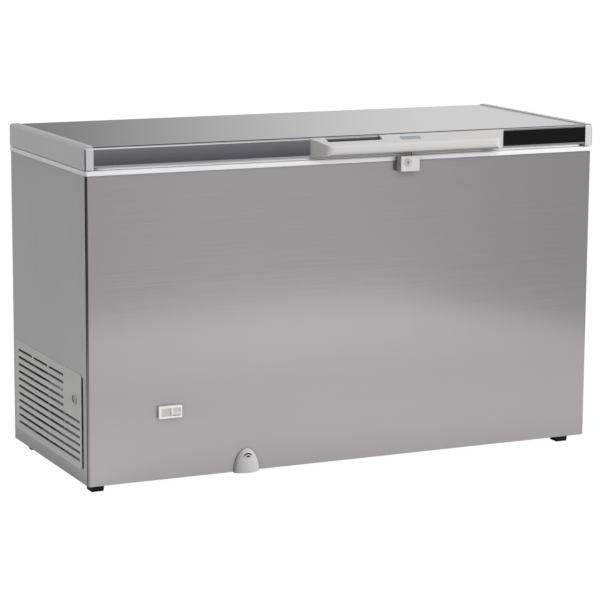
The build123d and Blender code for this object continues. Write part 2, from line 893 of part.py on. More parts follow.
def hinge_screws(places, grow=0):
    screws = []
    for place in places:
        screw = rod(place, (0, -1, 0), screw_r + grow, screw_l + hinge_t)
        if not grow:
            head = rod(place, (0, 1, 0), screw_head_r, screw_head_t)
            screw += fillet(head.faces().sort_by(Axis.Y)[-1].edges(), screw_edge_r)
        screws.append(screw)
    return screws


def spring_radius():
    return hinge_pin_r + spring_gap + spring_wire_r


def spring_half():
    return spring_turns * spring_pitch / 2


def spring_bar_y():
    # a bar behind a spring leg, which the leg pushes back
    start = pin_y - spring_radius() + spring_wire_r + loose
    return start, start + spring_bar_t


def spring_point(angle, side):
    # on the coil, from its left end; angle 0 is towards the cabinet
    x = side * hinge_x - spring_half() + spring_pitch * angle / (2 * math.pi)
    radius = spring_radius()
    place = Vector(x, pin_y - radius * math.cos(angle), pin_z + radius * math.sin(angle))
    rise = spring_pitch / (2 * math.pi)
    heading = Vector(rise, radius * math.sin(angle), radius * math.cos(angle)).normalized()
    return place, heading


def spring_path(side):
    # quarter turns, each as two tangent arcs, with a straight leg at both ends
    edges = []
    quarter = math.pi / 2
    place, heading = spring_point(0, side)
    edges.append(Line(place - heading * spring_leg, place))
    for count in range(4 * spring_turns):
        start, leave = spring_point(count * quarter, side)
        end, arrive = spring_point((count + 1) * quarter, side)
        chord = end - start
        bend = 2 * (1 - leave.dot(arrive))
        along = chord.dot(leave + arrive)
        reach = (math.sqrt(along**2 + bend * chord.dot(chord)) - along) / bend
        first, last = start + leave * reach, end - arrive * reach
        joint = (first + last) * 0.5
        edges.append(TangentArc(start, joint, tangent=leave))
        edges.append(TangentArc(joint, end, tangent=last - first))
    place, heading = spring_point(4 * spring_turns * quarter, side)
    edges.append(Line(place, place + heading * spring_leg))
    return Wire([edge.edge() for edge in edges])


def hinge_spring(side):
    path = spring_path(side)
    return sweep(Plane(path @ 0, z_dir=path % 0) * Circle(spring_wire_r), path=path)


def spring_clearance():
    # least distance between points more than half a turn apart, less the wire
    steps = 24
    count = steps * spring_turns + 1
    points = [spring_point(2 * math.pi * step / steps, 1)[0] for step in range(count)]
    apart = steps // 2 + 1
    least = min((a - b).length for i, a in enumerate(points) for b in points[i + apart:])
    return least - 2 * spring_wire_r


# Lid
def core_block(z, fold):
    core = block((-x_core, x_core), (y_front, y_rear), z)
    edges = core.edges().filter_by(Axis.X).sort_by(Axis.Z)[-2:]
    return fillet(edges, fold)


def skin_room():
    room = block(
        (-x_core - over, x_core + over),
        (y_front + sheet_t, y_rear - sheet_t),
        (z_lid - over, z_steel - sheet_t),
    )
    return fillet(room.edges().filter_by(Axis.X).sort_by(Axis.Z)[-2:], lid_fold_r - sheet_t)


def lid_top_skin():
    skin = core_block((z_lid, z_steel), lid_fold_r) - skin_room()
    for screw in hinge_screws(leaf_screw_places(), snug):
        skin -= screw
    return skin


def plug_block(inset, top):
    mouth = in_w - frame_lip_t - plug_gap - inset
    y = (y_in[0] + frame_lip_t + plug_gap + inset, y_in[1] - frame_lip_t - plug_gap - inset)
    plug = block((-mouth, mouth), y, (z_plug + inset, top))
    plug = fillet(plug.edges().filter_by(Axis.Z), plug_corner_r - inset)
    return fillet(plug.faces().sort_by(Axis.Z)[0].edges(), plug_edge_r - inset)


def tray_room():
    return block(
        (panel_t - x_core, x_core - panel_t),
        (y_front + sheet_t + panel_t, y_rear - sheet_t - panel_t),
        (z_lid + panel_t, z_flange),
    )


def lid_inner_panel():
    y = (y_front + sheet_t, y_rear - sheet_t)
    panel = block((-x_core, x_core), y, (z_lid, z_flange)) - tray_room()
    panel += plug_block(0, z_lid + panel_t)
    return panel - plug_block(panel_t, z_lid + panel_t)


def lid_insulation():
    foam = skin_room() & block((-x_core, x_core), (y_front, y_rear), (z_flange, z_steel))
    foam += tray_room()
    foam += plug_block(panel_t, z_lid + panel_t)
    for screw in hinge_screws(leaf_screw_places(), snug):
        foam -= screw
    return foam


def lid_gasket():
    x = x_cap_in - loose
    y = (y_front + gasket_inset, y_rear - gasket_inset)
    z = (z_top + loose, z_lid)
    ring = block((-x, x), y, z)
    hole = (y[0] + gasket_w, y[1] - gasket_w)
    return ring - block((gasket_w - x, x - gasket_w), hole, (z[0] - over, z[1] + over))


def lid_end_cap(side):
    y = (y_front - cap_proud, y_rear + cap_proud)
    z = (z_lid - cap_drop, z_steel + cap_rise)
    cap = block((x_cap_in, x_cap), y, z)
    cap = fillet(cap.edges().filter_by(Axis.Z).sort_by(Axis.X)[-2:], cap_corner_r)
    rim = cap.faces().sort_by(Axis.Z)[-1].edges().sort_by(Axis.X)[1:]
    cap = fillet(rim, cap_top_r)
    cap -= block((x_cap_in - over, x_core), (y_front, y_rear), (z_lid, z_steel))
    groove = (x_cap - cap_lip - cap_groove_w, x_cap - cap_lip)
    cap -= block(groove, (y[0] - over, y[0] + cap_groove_d), (z[0] - over, z[1] - cap_top_r))
    return cap if side > 0 else mirror(cap, about=Plane.YZ)


def strip_block(x):
    return block(x, (y_front - strip_t, y_front), (z_lid + strip_low, z_steel - strip_high))


def chamfered_strip(x):
    return chamfer(strip_block(x).faces().sort_by(Axis.Y)[0].edges(), strip_edge)


def handle_ends():
    return handle_x - handle_l / 2, handle_x + handle_l / 2


def pocket_ends():
    middle = handle_x + pocket_x
    return middle - pocket_l / 2, middle + pocket_l / 2


def front_strip_ends():
    # the strip runs on behind the handle and shows through the finger pocket
    return loose - x_cap_in, pocket_ends()[1] + pocket_lap


def lid_front_strip():
    return chamfered_strip(front_strip_ends())


def lid_black_panel():
    return chamfered_strip((handle_ends()[1] + loose, x_cap_in - loose))


# Handle
def handle_slope():
    return math.atan2(handle_front_drop, handle_out)


def handle_plan(inset, back, z):
    # plan shape with slanted ends, drawn in by a wall
    left, right = handle_ends()
    shift = inset * math.hypot(handle_taper, handle_out) / handle_out
    lean = handle_taper / handle_out
    front = handle_out - inset
    points = [
        (left + shift + back * lean, y_front - back),
        (right - shift - back * lean, y_front - back),
        (right - shift - front * lean, y_front - front),
        (left + shift + front * lean, y_front - front),
    ]
    return prism_z(points, z)


def handle_hollow_top():
    return handle_z + handle_hollow_h


def front_edges(shape, axis):
    return shape.faces().sort_by(Axis.Y)[0].edges().filter_by(axis)


def lid_handle():
    out = y_front - handle_out
    profile = [
        (y_front, handle_z),
        (y_front, handle_top),
        (out, handle_top - handle_front_drop),
        (out, handle_z),
    ]
    # only the front's long edges are rounded in section, and only its ends in plan
    section = prism_x(profile, handle_ends())
    section = fillet(front_edges(section, Axis.X).sort_by(Axis.Z)[0], handle_low_r)
    section = fillet(front_edges(section, Axis.X).sort_by(Axis.Z)[-1], handle_top_r)
    plan = handle_plan(0, 0, (handle_z, handle_top))
    plan = fillet(front_edges(plan, Axis.Z), handle_end_r)
    handle = section & plan
    handle -= handle_plan(handle_wall, handle_wall, (handle_z - over, handle_hollow_top()))
    handle -= strip_block(front_strip_ends())
    return handle - upright_block(
        pocket_ends(),
        (y_front - pocket_w, y_front + pocket_r + over),
        (handle_top - pocket_depth, handle_top + over),
        pocket_r,
    )


def handle_plate():
    slope = handle_slope()
    fall = plate_out * math.tan(slope)
    middle = (handle_x + plate_x, y_front - plate_out, handle_top - fall + plate_glue)
    place = Plane(middle, x_dir=(1, 0, 0), z_dir=(0, -math.sin(slope), math.cos(slope)))
    plate = Box(plate_l, plate_w, plate_t, align=(Align.CENTER, Align.CENTER, Align.MIN))
    return place * fillet(plate.edges().filter_by(Axis.Z), plate_r)


# Lock
def lock_housing():
    x = (lock_mid - lock_w / 2, lock_mid + lock_w / 2)
    z = (lock_top - lock_h, lock_top)
    housing = block(x, (y_front - lock_out, y_front), z)
    housing = fillet(housing.faces().sort_by(Axis.Y)[0].edges(), lock_edge_r)
    step = y_front - frame_out
    housing -= block((x[0] - over, x[1] + over), (step, y_front + over), (z_frame, lock_top + over))
    housing -= lock_chamber()
    start = y_front - bolt_y - bolt_w / 2
    place = (cylinder_mid, start, lock_top + cylinder_z)
    housing -= rod(place, (0, -1, 0), cylinder_r + running, lock_out)
    x, y, z = striker_box()
    room = striker_room
    return housing - block(
        (x[0] - room, x[1] + room), (y[0] - room, y[1] + room), (z[0] - room, lock_top + over)
    )


def bolt_ends():
    # the crank pin's fork is a third of the way along the bolt
    left = cylinder_mid - crank / math.sqrt(2) - bolt_l / 3
    return left, left + bolt_l


def lock_chamber():
    left, right = bolt_ends()
    half = bolt_w / 2 + sliding
    top = lock_top + bolt_z + bolt_h / 2 + sliding
    low = lock_top + bolt_z - bolt_h / 2 - bolt_tab_h - bolt_tab_room
    return block(
        (left - bolt_room, right + bolt_travel + sliding),
        (y_front - bolt_y - half, y_front - bolt_y + half),
        (low, top),
    )


def lock_cylinder():
    # the plug's back stands just ahead of the bolt, and a crank pin reaches into the bolt's fork
    back = y_front - bolt_y - bolt_w / 2 - sliding
    front = y_front - lock_out - cylinder_proud
    z = lock_top + cylinder_z
    cylinder = rod((cylinder_mid, back, z), (0, -1, 0), cylinder_r, back - front)
    cylinder = chamfer(cylinder.faces().sort_by(Axis.Y)[0].edges(), cylinder_edge)
    cylinder -= block(
        (cylinder_mid - keyway_w / 2, cylinder_mid + keyway_w / 2),
        (front - over, front + keyway_d),
        (z - keyway_h / 2, z + keyway_h / 2),
    )
    side = crank / math.sqrt(2)
    return cylinder + rod((cylinder_mid - side, back, z + side), (0, 1, 0), drive_pin_r, bolt_w - sliding)


def lock_bolt():
    left, right = bolt_ends()
    y = (y_front - bolt_y - bolt_w / 2, y_front - bolt_y + bolt_w / 2)
    low = lock_top + bolt_z - bolt_h / 2
    bolt = block((left, right), y, (low, low + bolt_h))
    fork = cylinder_mid - crank / math.sqrt(2)
    half = drive_pin_r + sliding + bolt_tab_wall
    bolt += block((fork - half, fork + half), y, (low - bolt_tab_h, low))
    gap = drive_pin_r + sliding
    return bolt - block(
        (fork - gap, fork + gap),
        (y[0] - over, y[1] + over),
        (low - bolt_tab_h - over, low + bolt_fork_rise),
    )


def striker_box():
    # the hook's outline: its foot lies under the bolt's path
    left = bolt_ends()[1] + striker_gap
    x = (left, left + striker_foot + striker_leg)
    y = (y_front - bolt_y - striker_w / 2, y_front - bolt_y + striker_w / 2)
    foot_top = lock_top + bolt_z - bolt_h / 2 - sliding
    return x, y, (foot_top - striker_foot_h, handle_hollow_top())


def lock_striker():
    x, y, z = striker_box()
    hook = block((x[1] - striker_leg, x[1]), y, z)
    return hook + block(x, y, (z[0], z[0] + striker_foot_h))


# Compressor and cooling circuit
def comp_pot(shrink):
    pot = extrude(Ellipse(comp_a - shrink, comp_b - shrink), amount=comp_h - 2 * shrink)
    pot = fillet(pot.faces().sort_by(Axis.Z)[-1].edges(), comp_round - shrink)
    pot = fillet(pot.faces().sort_by(Axis.Z)[0].edges(), comp_round - shrink)
    return Pos(*comp_mid, comp_z + comp_plate_t + shrink) * pot


def comp_feet():
    x, y = comp_mid
    return [
        (x + dx, y + dy) for dx in (-comp_foot_x, comp_foot_x) for dy in (-comp_foot_y, comp_foot_y)
    ]


def compressor():
    shell = comp_pot(0)
    ring = extrude(Ellipse(comp_a + comp_seam_out, comp_b + comp_seam_out), amount=comp_seam_t)
    shell += Pos(*comp_mid, comp_z + comp_plate_t + comp_h / 2) * ring
    x, y = comp_mid
    wide = comp_foot_x + grommet_r + comp_plate_edge
    long = comp_foot_y + grommet_r + comp_plate_edge
    plate = block((x - wide, x + wide), (y - long, y + long), (comp_z, comp_z + comp_plate_t))
    shell += fillet(plate.edges().filter_by(Axis.Z), grommet_r)
    shell -= comp_pot(comp_wall)
    for place in comp_feet():
        shell -= rod((*place, comp_z - over), (0, 0, 1), comp_bolt_r + loose, comp_plate_t + 2 * over)
    return shell


def compressor_grommets():
    low = z_base + base_t
    rings = []
    for place in comp_feet():
        ring = rod((*place, low), (0, 0, 1), grommet_r, grommet_h)
        ring = fillet(ring.edges(), grommet_edge_r)
        hole = rod((*place, low - over), (0, 0, 1), comp_bolt_r + loose, grommet_h + 2 * over)
        rings.append(ring - hole)
    return Compound(children=rings)


def compressor_bolts():
    low = z_base + base_t
    head = comp_z + comp_plate_t
    bolts = []
    for place in comp_feet():
        bolt = rod((*place, low), (0, 0, 1), comp_bolt_r, head - low)
        cap = extrude(RegularPolygon(comp_bolt_head_r, 6), amount=comp_bolt_head_t)
        bolts.append(bolt + Pos(*place, head) * cap)
    return Compound(children=bolts)


def relay_box():
    x, y = comp_mid
    start = x + comp_a - relay_bite
    low = comp_z + comp_plate_t + comp_h / 2 + comp_seam_t + loose
    box = block(
        (start, start + relay_w), (y - relay_l / 2, y + relay_l / 2), (low, low + relay_h)
    )
    box = fillet(box.edges().filter_by(Axis.Z).sort_by(Axis.X)[-2:], relay_r)
    return box - comp_pot(-loose)


def evap_ends():
    # inlet beside the liner, outlet one step further out, both down in the bay
    x = -in_w - liner_t - line_r - loose
    low = z_bay - evap_down
    return (x, y_front + evap_in, low), (x - evap_step, y_front + evap_out, low)


def evaporator_coil(grow=0):
    off = liner_t + line_r + loose
    x = (-in_w - off, in_w + off)
    y = (y_in[0] - off, y_in[1] + off)
    z = z_step + evap_low
    start, end = evap_ends()
    points = [start, (start[0], start[1], z)]
    for _ in range(evap_turns):
        points += [(x[0], y[0], z), (x[1], y[0], z), (x[1], y[1], z)]
        z += evap_pitch
        points.append((x[0], y[1], z))
    points += [(x[0], end[1] + 2 * line_bend, z), (end[0], end[1], z - 2 * line_bend), end]
    bends = [line_bend] + [liner_r + off] * 4 * evap_turns + [line_bend] * 2
    return tube(points, line_r + grow, bends)


def cond_y():
    return y_rear - sheet_t - line_r - loose


def cond_ends():
    # inlet against the rear panel, outlet bent clear of it for the drier
    left = -half_w + cond_left
    start = (left - cond_in, cond_y(), z_bay - cond_down)
    drier_x = evap_ends()[0][0] + drier_side
    return start, (drier_x, cond_y() - drier_off, z_bay - cond_down - 2 * line_bend)


def condenser_coil(grow=0):
    y = cond_y()
    left, right = -half_w + cond_left, half_w - cond_side
    start, end = cond_ends()
    z = z_bay + cond_low
    points = [start, (start[0], y, z)]
    for run in range(0, cond_runs, 2):
        points += [(right, y, z), (right, y, z + cond_pitch)]
        z += cond_pitch
        if run + 2 < cond_runs:
            points += [(left, y, z), (left, y, z + cond_pitch)]
            z += cond_pitch
    points += [(end[0], y, z), (end[0], y, z_bay - line_bend)]
    points += [(end[0], end[1], end[2] + line_bend), end]
    return tube(points, line_r + grow, cond_bend)


def comp_top():
    return comp_z + comp_plate_t + comp_h


def discharge_line():
    x, y = comp_mid[0] + stub_x, comp_mid[1] + stub_y
    start = cond_ends()[0]
    level = start[2] - line_bend - discharge_dip
    points = [(x, y, comp_top()), (x, y, level), (start[0], y, level)]
    points += [(start[0], start[1], level), start]
    return tube(points, line_r, line_bend)


def suction_line():
    x, y = comp_mid[0] - stub_x, comp_mid[1]
    end = evap_ends()[1]
    level = end[2] - line_bend - suction_dip
    points = [(x, y, comp_top()), (x, y, level), (end[0], end[1], level), end]
    return tube(points, line_r, line_bend)


def drier_low():
    x, y, z = cond_ends()[1]
    return (x, y, z - drier_l)


def filter_drier():
    x, y, z = cond_ends()[1]
    low = (Align.CENTER, Align.CENTER, Align.MIN)
    taper = drier_neck
    neck = cap_tube_r + drier_neck_wall
    drier = rod(drier_low(), (0, 0, 1), neck, taper)
    drier += Pos(x, y, z - drier_l + taper / 2) * Cone(neck, drier_r, taper / 2, align=low)
    drier += Pos(x, y, z - drier_l + taper) * Cylinder(drier_r, drier_l - 2 * taper, align=low)
    drier += Pos(x, y, z - taper) * Cone(drier_r, line_r, taper / 2, align=low)
    return drier + rod((x, y, z), (0, 0, -1), line_r, taper)


def capillary_tube():
    x, y, z = drier_low()
    end = evap_ends()[0]
    level = z - line_bend - capillary_dip
    points = [(x, y, z), (x, y, level), (end[0], y, level), (end[0], end[1], level), end]
    return tube(points, cap_tube_r, cap_tube_bend)


def mains_gland():
    start = (-half_w + gland_x, y_rear - gland_l + gland_flange_t, z_base + gland_z)
    gland = rod(start, (0, 1, 0), gland_r, gland_l)
    flange = rod((start[0], y_rear, start[2]), (0, 1, 0), gland_flange_r, gland_flange_t)
    gland += fillet(flange.faces().sort_by(Axis.Y)[-1].edges(), gland_edge_r)
    inside = (start[0], start[1] - over, start[2])
    return gland - rod(inside, (0, 1, 0), gland_bore, gland_l + 2 * over)


nodes = {
    "front_panel": front_panel(),
    "left_side_panel": left_side_panel(),
    "right_side_panel": side_panel(1),
    "rear_panel": rear_panel(),
    "base_plate": base_plate(),
    "cabinet_insulation": cabinet_insulation(),
    "inner_liner": inner_liner(),
    "bay_liner": bay_liner(),
    "top_frame": top_frame(),
    "side_grille": side_grille(),
    "thermostat_body": thermostat_body(),
    "thermostat_knob": thermostat_knob(),
    "control_bezel": control_bezel(),
    "switch_box": switch_box(),
    "indicator_window": indicator_window(),
    "rocker_switch": rocker_switch(),
    "drain_cover": drain_cover(),
    "drain_pipe": drain_pipe(),
    "drain_plug": drain_plug(),
    "front_feet": front_feet(),
    "roller_bracket_left": roller_bracket(-1),
    "roller_bracket_right": roller_bracket(1),
    "roller_axles": Compound(children=[roller_axle(-1), roller_axle(1)]),
    "roller_left": roller(-1),
    "roller_right": roller(1),
    "hinge_base_left": hinge_base(-1),
    "hinge_base_right": hinge_base(1),
    "hinge_pins": Compound(children=[hinge_pin(-1), hinge_pin(1)]),
    "hinge_spring_left": hinge_spring(-1),
    "hinge_spring_right": hinge_spring(1),
    "hinge_base_screws": Compound(children=hinge_screws(base_screw_places())),
    "hinge_leaf_left": hinge_leaf(-1),
    "hinge_leaf_right": hinge_leaf(1),
    "hinge_leaf_screws": Compound(children=hinge_screws(leaf_screw_places())),
    "lid_top_skin": lid_top_skin(),
    "lid_end_cap_left": lid_end_cap(-1),
    "lid_end_cap_right": lid_end_cap(1),
    "lid_front_strip": lid_front_strip(),
    "lid_black_panel": lid_black_panel(),
    "lid_inner_panel": lid_inner_panel(),
    "lid_insulation": lid_insulation(),
    "lid_gasket": lid_gasket(),
    "lid_handle": lid_handle(),
    "handle_plate": handle_plate(),
    "lock_striker": lock_striker(),
    "lock_housing": lock_housing(),
    "lock_cylinder": lock_cylinder(),
    "lock_bolt": lock_bolt(),
    "compressor": compressor(),
    "compressor_grommets": compressor_grommets(),
    "compressor_bolts": compressor_bolts(),
    "relay_box": relay_box(),
    "condenser_coil": condenser_coil(),
    "evaporator_coil": evaporator_coil(),
    "discharge_line": discharge_line(),
    "filter_drier": filter_drier(),
    "capillary_tube": capillary_tube(),
    "suction_line": suction_line(),
    "mains_gland": mains_gland(),
}

os.makedirs("parts", exist_ok=True)
for name, shape in nodes.items():
    export_step(shape, f"parts/{name}.step")
print("hinge spring: least gap between turns", round(spring_clearance(), 2), "mm")
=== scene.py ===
import bmesh
import bpy
import json
import math
from mathutils import Matrix, Vector


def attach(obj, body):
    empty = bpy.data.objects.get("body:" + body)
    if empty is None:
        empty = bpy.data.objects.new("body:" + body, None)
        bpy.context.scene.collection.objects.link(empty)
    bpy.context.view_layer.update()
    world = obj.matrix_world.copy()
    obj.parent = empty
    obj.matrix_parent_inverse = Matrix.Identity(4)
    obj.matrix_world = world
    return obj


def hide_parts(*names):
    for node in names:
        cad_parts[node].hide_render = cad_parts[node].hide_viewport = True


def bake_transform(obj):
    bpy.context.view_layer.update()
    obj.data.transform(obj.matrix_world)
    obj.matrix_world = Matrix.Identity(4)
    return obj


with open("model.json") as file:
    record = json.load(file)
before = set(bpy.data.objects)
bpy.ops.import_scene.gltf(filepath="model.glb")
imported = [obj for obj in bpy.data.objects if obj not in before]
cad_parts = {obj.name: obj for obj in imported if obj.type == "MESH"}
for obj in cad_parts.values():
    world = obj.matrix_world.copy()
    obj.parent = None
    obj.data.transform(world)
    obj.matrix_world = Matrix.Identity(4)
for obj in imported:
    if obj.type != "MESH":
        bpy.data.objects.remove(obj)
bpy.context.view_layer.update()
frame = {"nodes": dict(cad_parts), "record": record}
nodes = frame["nodes"]
print("frame loaded:", len(nodes), "nodes")


# camera, as the photograph was taken
cameraPlace = {
    "eye": (-2.8421, -6.0748, 1.6390),
    "yaw": 24.992,  # turned right from straight ahead
    "pitch": 10.281,  # tipped down
    "roll": 0.353,
    "lens": 145.42,
    "sensor": 36.0,
    "farthest": 200.0,
}


def makeCamera(c):
    yaw, pitch, roll = (math.radians(c[k]) for k in ("yaw", "pitch", "roll"))
    ahead = Vector((math.sin(yaw) * math.cos(pitch), math.cos(yaw) * math.cos(pitch), -math.sin(pitch)))
    right = Vector((math.cos(yaw), -math.sin(yaw), 0.0))
    up = right.cross(ahead)
    tiltedRight = right * math.cos(roll) + up * math.sin(roll)
    tiltedUp = up * math.cos(roll) - right * math.sin(roll)
    turn = Matrix((tiltedRight, tiltedUp, -ahead)).transposed().to_4x4()
    data = bpy.data.cameras.new("photoCamera")
    data.lens = c["lens"]
    data.sensor_width = c["sensor"]
    data.clip_end = c["farthest"]
    camera = bpy.data.objects.new("photoCamera", data)
    camera.matrix_world = Matrix.Translation(c["eye"]) @ turn
    bpy.context.scene.collection.objects.link(camera)
    bpy.context.scene.camera = camera


makeCamera(cameraPlace)
bpy.context.scene.view_settings.view_transform = "Standard"
print("camera set")


# small helpers for shader trees
midNoise = (0.3, 0.7)  # span that most of a noise lies in
edgeTurn = (0.98, 0.75)  # cosine of the turn, from a flat to a full edge
fineSamples = 8  # rays that test how open a spot is
fewSamples = 6


def addNode(tree, kind, **settings):
    node = tree.nodes.new(kind)
    for key, value in settings.items():
        setattr(node, key, value)
    return node


def put(tree, socket, value):
    if isinstance(value, bpy.types.NodeSocket):
        tree.links.new(value, socket)
    else:
        socket.default_value = value


def feed(tree, node, **sockets):
    for key, value in sockets.items():
        put(tree, node.inputs[key.replace("_", " ")], value)
    return node


def mathOf(tree, kind, a, b=0.0, clamp=False):
    node = addNode(tree, "ShaderNodeMath", operation=kind, use_clamp=clamp)
    put(tree, node.inputs[0], a)
    put(tree, node.inputs[1], b)
    return node.outputs[0]


def rangeOf(tree, value, low, high, toLow, toHigh, smooth=False):
    node = addNode(tree, "ShaderNodeMapRange", interpolation_type="SMOOTHSTEP" if smooth else "LINEAR")
    feed(tree, node, Value=value, From_Min=low, From_Max=high, To_Min=toLow, To_Max=toHigh)
    return node.outputs["Result"]


def mixOf(tree, factor, a, b, kind="MIX"):
    node = addNode(tree, "ShaderNodeMix", data_type="RGBA", blend_type=kind)
    put(tree, node.inputs[0], factor)
    for socket, tone in ((node.inputs[6], a), (node.inputs[7], b)):
        put(tree, socket, (*tone, 1.0) if isinstance(tone, tuple) else tone)
    return node.outputs[2]


def splitOf(tree, vector):  # its X, Y and Z
    node = addNode(tree, "ShaderNodeSeparateXYZ")
    tree.links.new(vector, node.inputs[0])
    return node.outputs


def normalOf(tree):
    return addNode(tree, "ShaderNodeNewGeometry").outputs["Normal"]


def opennessOf(tree, reach, samples, alone=False):  # 1 in the open, less near other faces
    node = addNode(tree, "ShaderNodeAmbientOcclusion", samples=samples, only_local=alone)
    node.inputs["Distance"].default_value = reach
    return node.outputs["AO"]


def noiseOf(tree, place, scale, stretch=(1.0, 1.0, 1.0), detail=3.0, rough=0.55):
    mapping = addNode(tree, "ShaderNodeMapping")
    feed(tree, mapping, Vector=place, Scale=stretch)
    noise = addNode(tree, "ShaderNodeTexNoise")
    feed(tree, noise, Vector=mapping.outputs[0], Scale=scale, Detail=detail, Roughness=rough)
    return noise.outputs["Fac"]


def bumpOf(tree, height, strength, distance, normal=None):
    node = addNode(tree, "ShaderNodeBump")
    feed(tree, node, Height=height, Strength=strength, Distance=distance)
    if normal:
        tree.links.new(normal, node.inputs["Normal"])
    return node.outputs["Normal"]


def edgeOf(tree, radius):  # 0 on a flat, towards 1 on an edge, and the rounded normal
    bevel = addNode(tree, "ShaderNodeBevel", samples=4)
    bevel.inputs["Radius"].default_value = radius
    dot = addNode(tree, "ShaderNodeVectorMath", operation="DOT_PRODUCT")
    tree.links.new(bevel.outputs[0], dot.inputs[0])
    tree.links.new(normalOf(tree), dot.inputs[1])
    return rangeOf(tree, dot.outputs["Value"], *edgeTurn, 0.0, 1.0), bevel.outputs[0]


def shade(tone, share):
    return tuple(min(1.0, c * share) for c in tone)


def toneOf(tree, noise, tone, shares):  # from one share of a tone to another
    low, high = (shade(tone, share) for share in shares)
    return mixOf(tree, rangeOf(tree, noise, *midNoise, 0.0, 1.0), low, high)


def dimmed(tree, tone, share):
    return mixOf(tree, 1.0, tone, share, "MULTIPLY")


def worn(tree, tone, edge, share, light):  # lighter along the edges
    return mixOf(tree, mathOf(tree, "MULTIPLY", edge, share), tone, light)


def roughOf(tree, noise, rough, spread, span=midNoise):
    return rangeOf(tree, noise, *span, rough + spread[0], rough + spread[1])


def startFinish(name):
    material = bpy.data.materials.new(name)
    material.use_nodes = True
    tree = material.node_tree
    place = addNode(tree, "ShaderNodeTexCoord").outputs["Object"]
    return material, tree, tree.nodes["Principled BSDF"], place


def endFinish(tree, shader, tone, rough, normal, metal=0.0):
    tree.links.new(tone, shader.inputs["Base Color"])
    put(tree, shader.inputs["Roughness"], rough)
    tree.links.new(normal, shader.inputs["Normal"])
    shader.inputs["Metallic"].default_value = metal


# brushed steel sheets, ground along X
# corner: share of the tone left by painted shade where other parts are near
brushedFinishes = {
    "brushed_front": {
        "tone": (0.606, 0.578, 0.592), "metal": 1.0, "rough": 0.13, "aniso": 0.5, "grain": 0.03,
        "corner": 0.25,
        "bend": (0.65, 0.18),  # share of its tone left by painted shade on the left bend, at the foot and further up
    },
    "lid_steel": {
        "tone": (0.574, 0.562, 0.588), "metal": 1.0, "rough": 0.15, "aniso": 0.5, "grain": 0.03,
        "corner": 0.85,
    },
    "plate_metal": {
        "tone": (0.50, 0.54, 0.62), "metal": 0.4, "rough": 0.34, "aniso": 0.4, "grain": 0.03,
        "corner": 0.7,
    },
}
brushing = {
    "streaks": {"scale": 4.0, "stretch": (1.0, 260.0, 260.0), "detail": 5.0, "rough": 0.65},
    "cloud": {"scale": 2.2, "detail": 2.0},
    "smear": {"scale": 9.0, "stretch": (1.0, 1.0, 0.35)},
    "smearSpan": (0.4, 0.7),
    "tones": (0.96, 1.035),
    "streakRough": (-0.02, 0.025),
    "cloudRough": (-0.006, 0.006),
    "smearRough": (-0.003, 0.007),
    "depth": 0.0004,
    # painted shade near other parts: its reach and span of openness
    "cornerShadeReach": 0.028,
    "cornerShadeSpan": (0.15, 0.95),
    "bendRise": (0.12, 0.55),  # heights of the foot's share and of the upper one
    "bendFacing": (-0.15, -0.45),  # X of the normal, on the flat and on the bend
}


def bendShadeOf(tree, place, foot, top):  # 1 on the flat, less where painted shade darkens the sheet's turn to the left
    share = rangeOf(tree, splitOf(tree, place)[2], *brushing["bendRise"], foot, top)
    return rangeOf(tree, splitOf(tree, normalOf(tree))[0], *brushing["bendFacing"], 1.0, share)


def brushedFinish(slot, f):
    b = brushing
    material, tree, shader, place = startFinish(slot)
    streaks, cloud, smear = (noiseOf(tree, place, **b[kind]) for kind in ("streaks", "cloud", "smear"))
    tone = toneOf(tree, streaks, f["tone"], b["tones"])
    # painted shade: darker where other parts are near
    corner = opennessOf(tree, b["cornerShadeReach"], fineSamples)
    tone = dimmed(tree, tone, rangeOf(tree, corner, *b["cornerShadeSpan"], f["corner"], 1.0))
    # painted shade on the sheet's left bend
    if "bend" in f:
        tone = dimmed(tree, tone, bendShadeOf(tree, place, *f["bend"]))
    patchy = mathOf(
        tree, "ADD", roughOf(tree, cloud, 0.0, b["cloudRough"]),
        roughOf(tree, smear, 0.0, b["smearRough"], b["smearSpan"]),
    )
    dull = mathOf(tree, "ADD", patchy, roughOf(tree, streaks, f["rough"], b["streakRough"]))
    endFinish(tree, shader, tone, dull, bumpOf(tree, streaks, f["grain"], b["depth"]), f["metal"])
    shader.inputs["Anisotropic"].default_value = f["aniso"]
    across = addNode(tree, "ShaderNodeVectorMath", operation="CROSS_PRODUCT")
    tree.links.new(normalOf(tree), across.inputs[0])
    across.inputs[1].default_value = (1.0, 0.0, 0.0)  # the brushing runs along X
    tree.links.new(across.outputs[0], shader.inputs["Tangent"])
    return material


# the lid's dark front strip, with painted shade deepening it towards its lower edge
darkStrip = {
    "tone": (0.285, 0.282, 0.315),
    "deep": 0.5,  # share of the tone left by painted shade at the lower edge
    "low": 0.869,
    "high": 0.9105,
    "streaks": {"scale": 4.0, "stretch": (1.0, 260.0, 260.0), "detail": 4.0, "rough": 0.6},
    "tones": (0.94, 1.06),
    "rough": 0.22,
    "roughSpread": (-0.02, 0.04),
    "grain": 0.03,
    "depth": 0.0004,
    "edge": 0.0008,
}


def darkStripFinish(slot, f):
    material, tree, shader, place = startFinish(slot)
    streaks = noiseOf(tree, place, **f["streaks"])
    # painted shade: darker towards the lower edge
    rise = rangeOf(tree, splitOf(tree, place)[2], f["low"], f["high"], 0.0, 1.0)
    tone = mixOf(tree, rise, shade(f["tone"], f["deep"]), f["tone"])
    tone = dimmed(tree, tone, rangeOf(tree, streaks, *midNoise, *f["tones"]))
    soft = edgeOf(tree, f["edge"])[1]
    rough = roughOf(tree, streaks, f["rough"], f["roughSpread"])
    endFinish(tree, shader, tone, rough, bumpOf(tree, streaks, f["grain"], f["depth"], soft), 1.0)
    return material


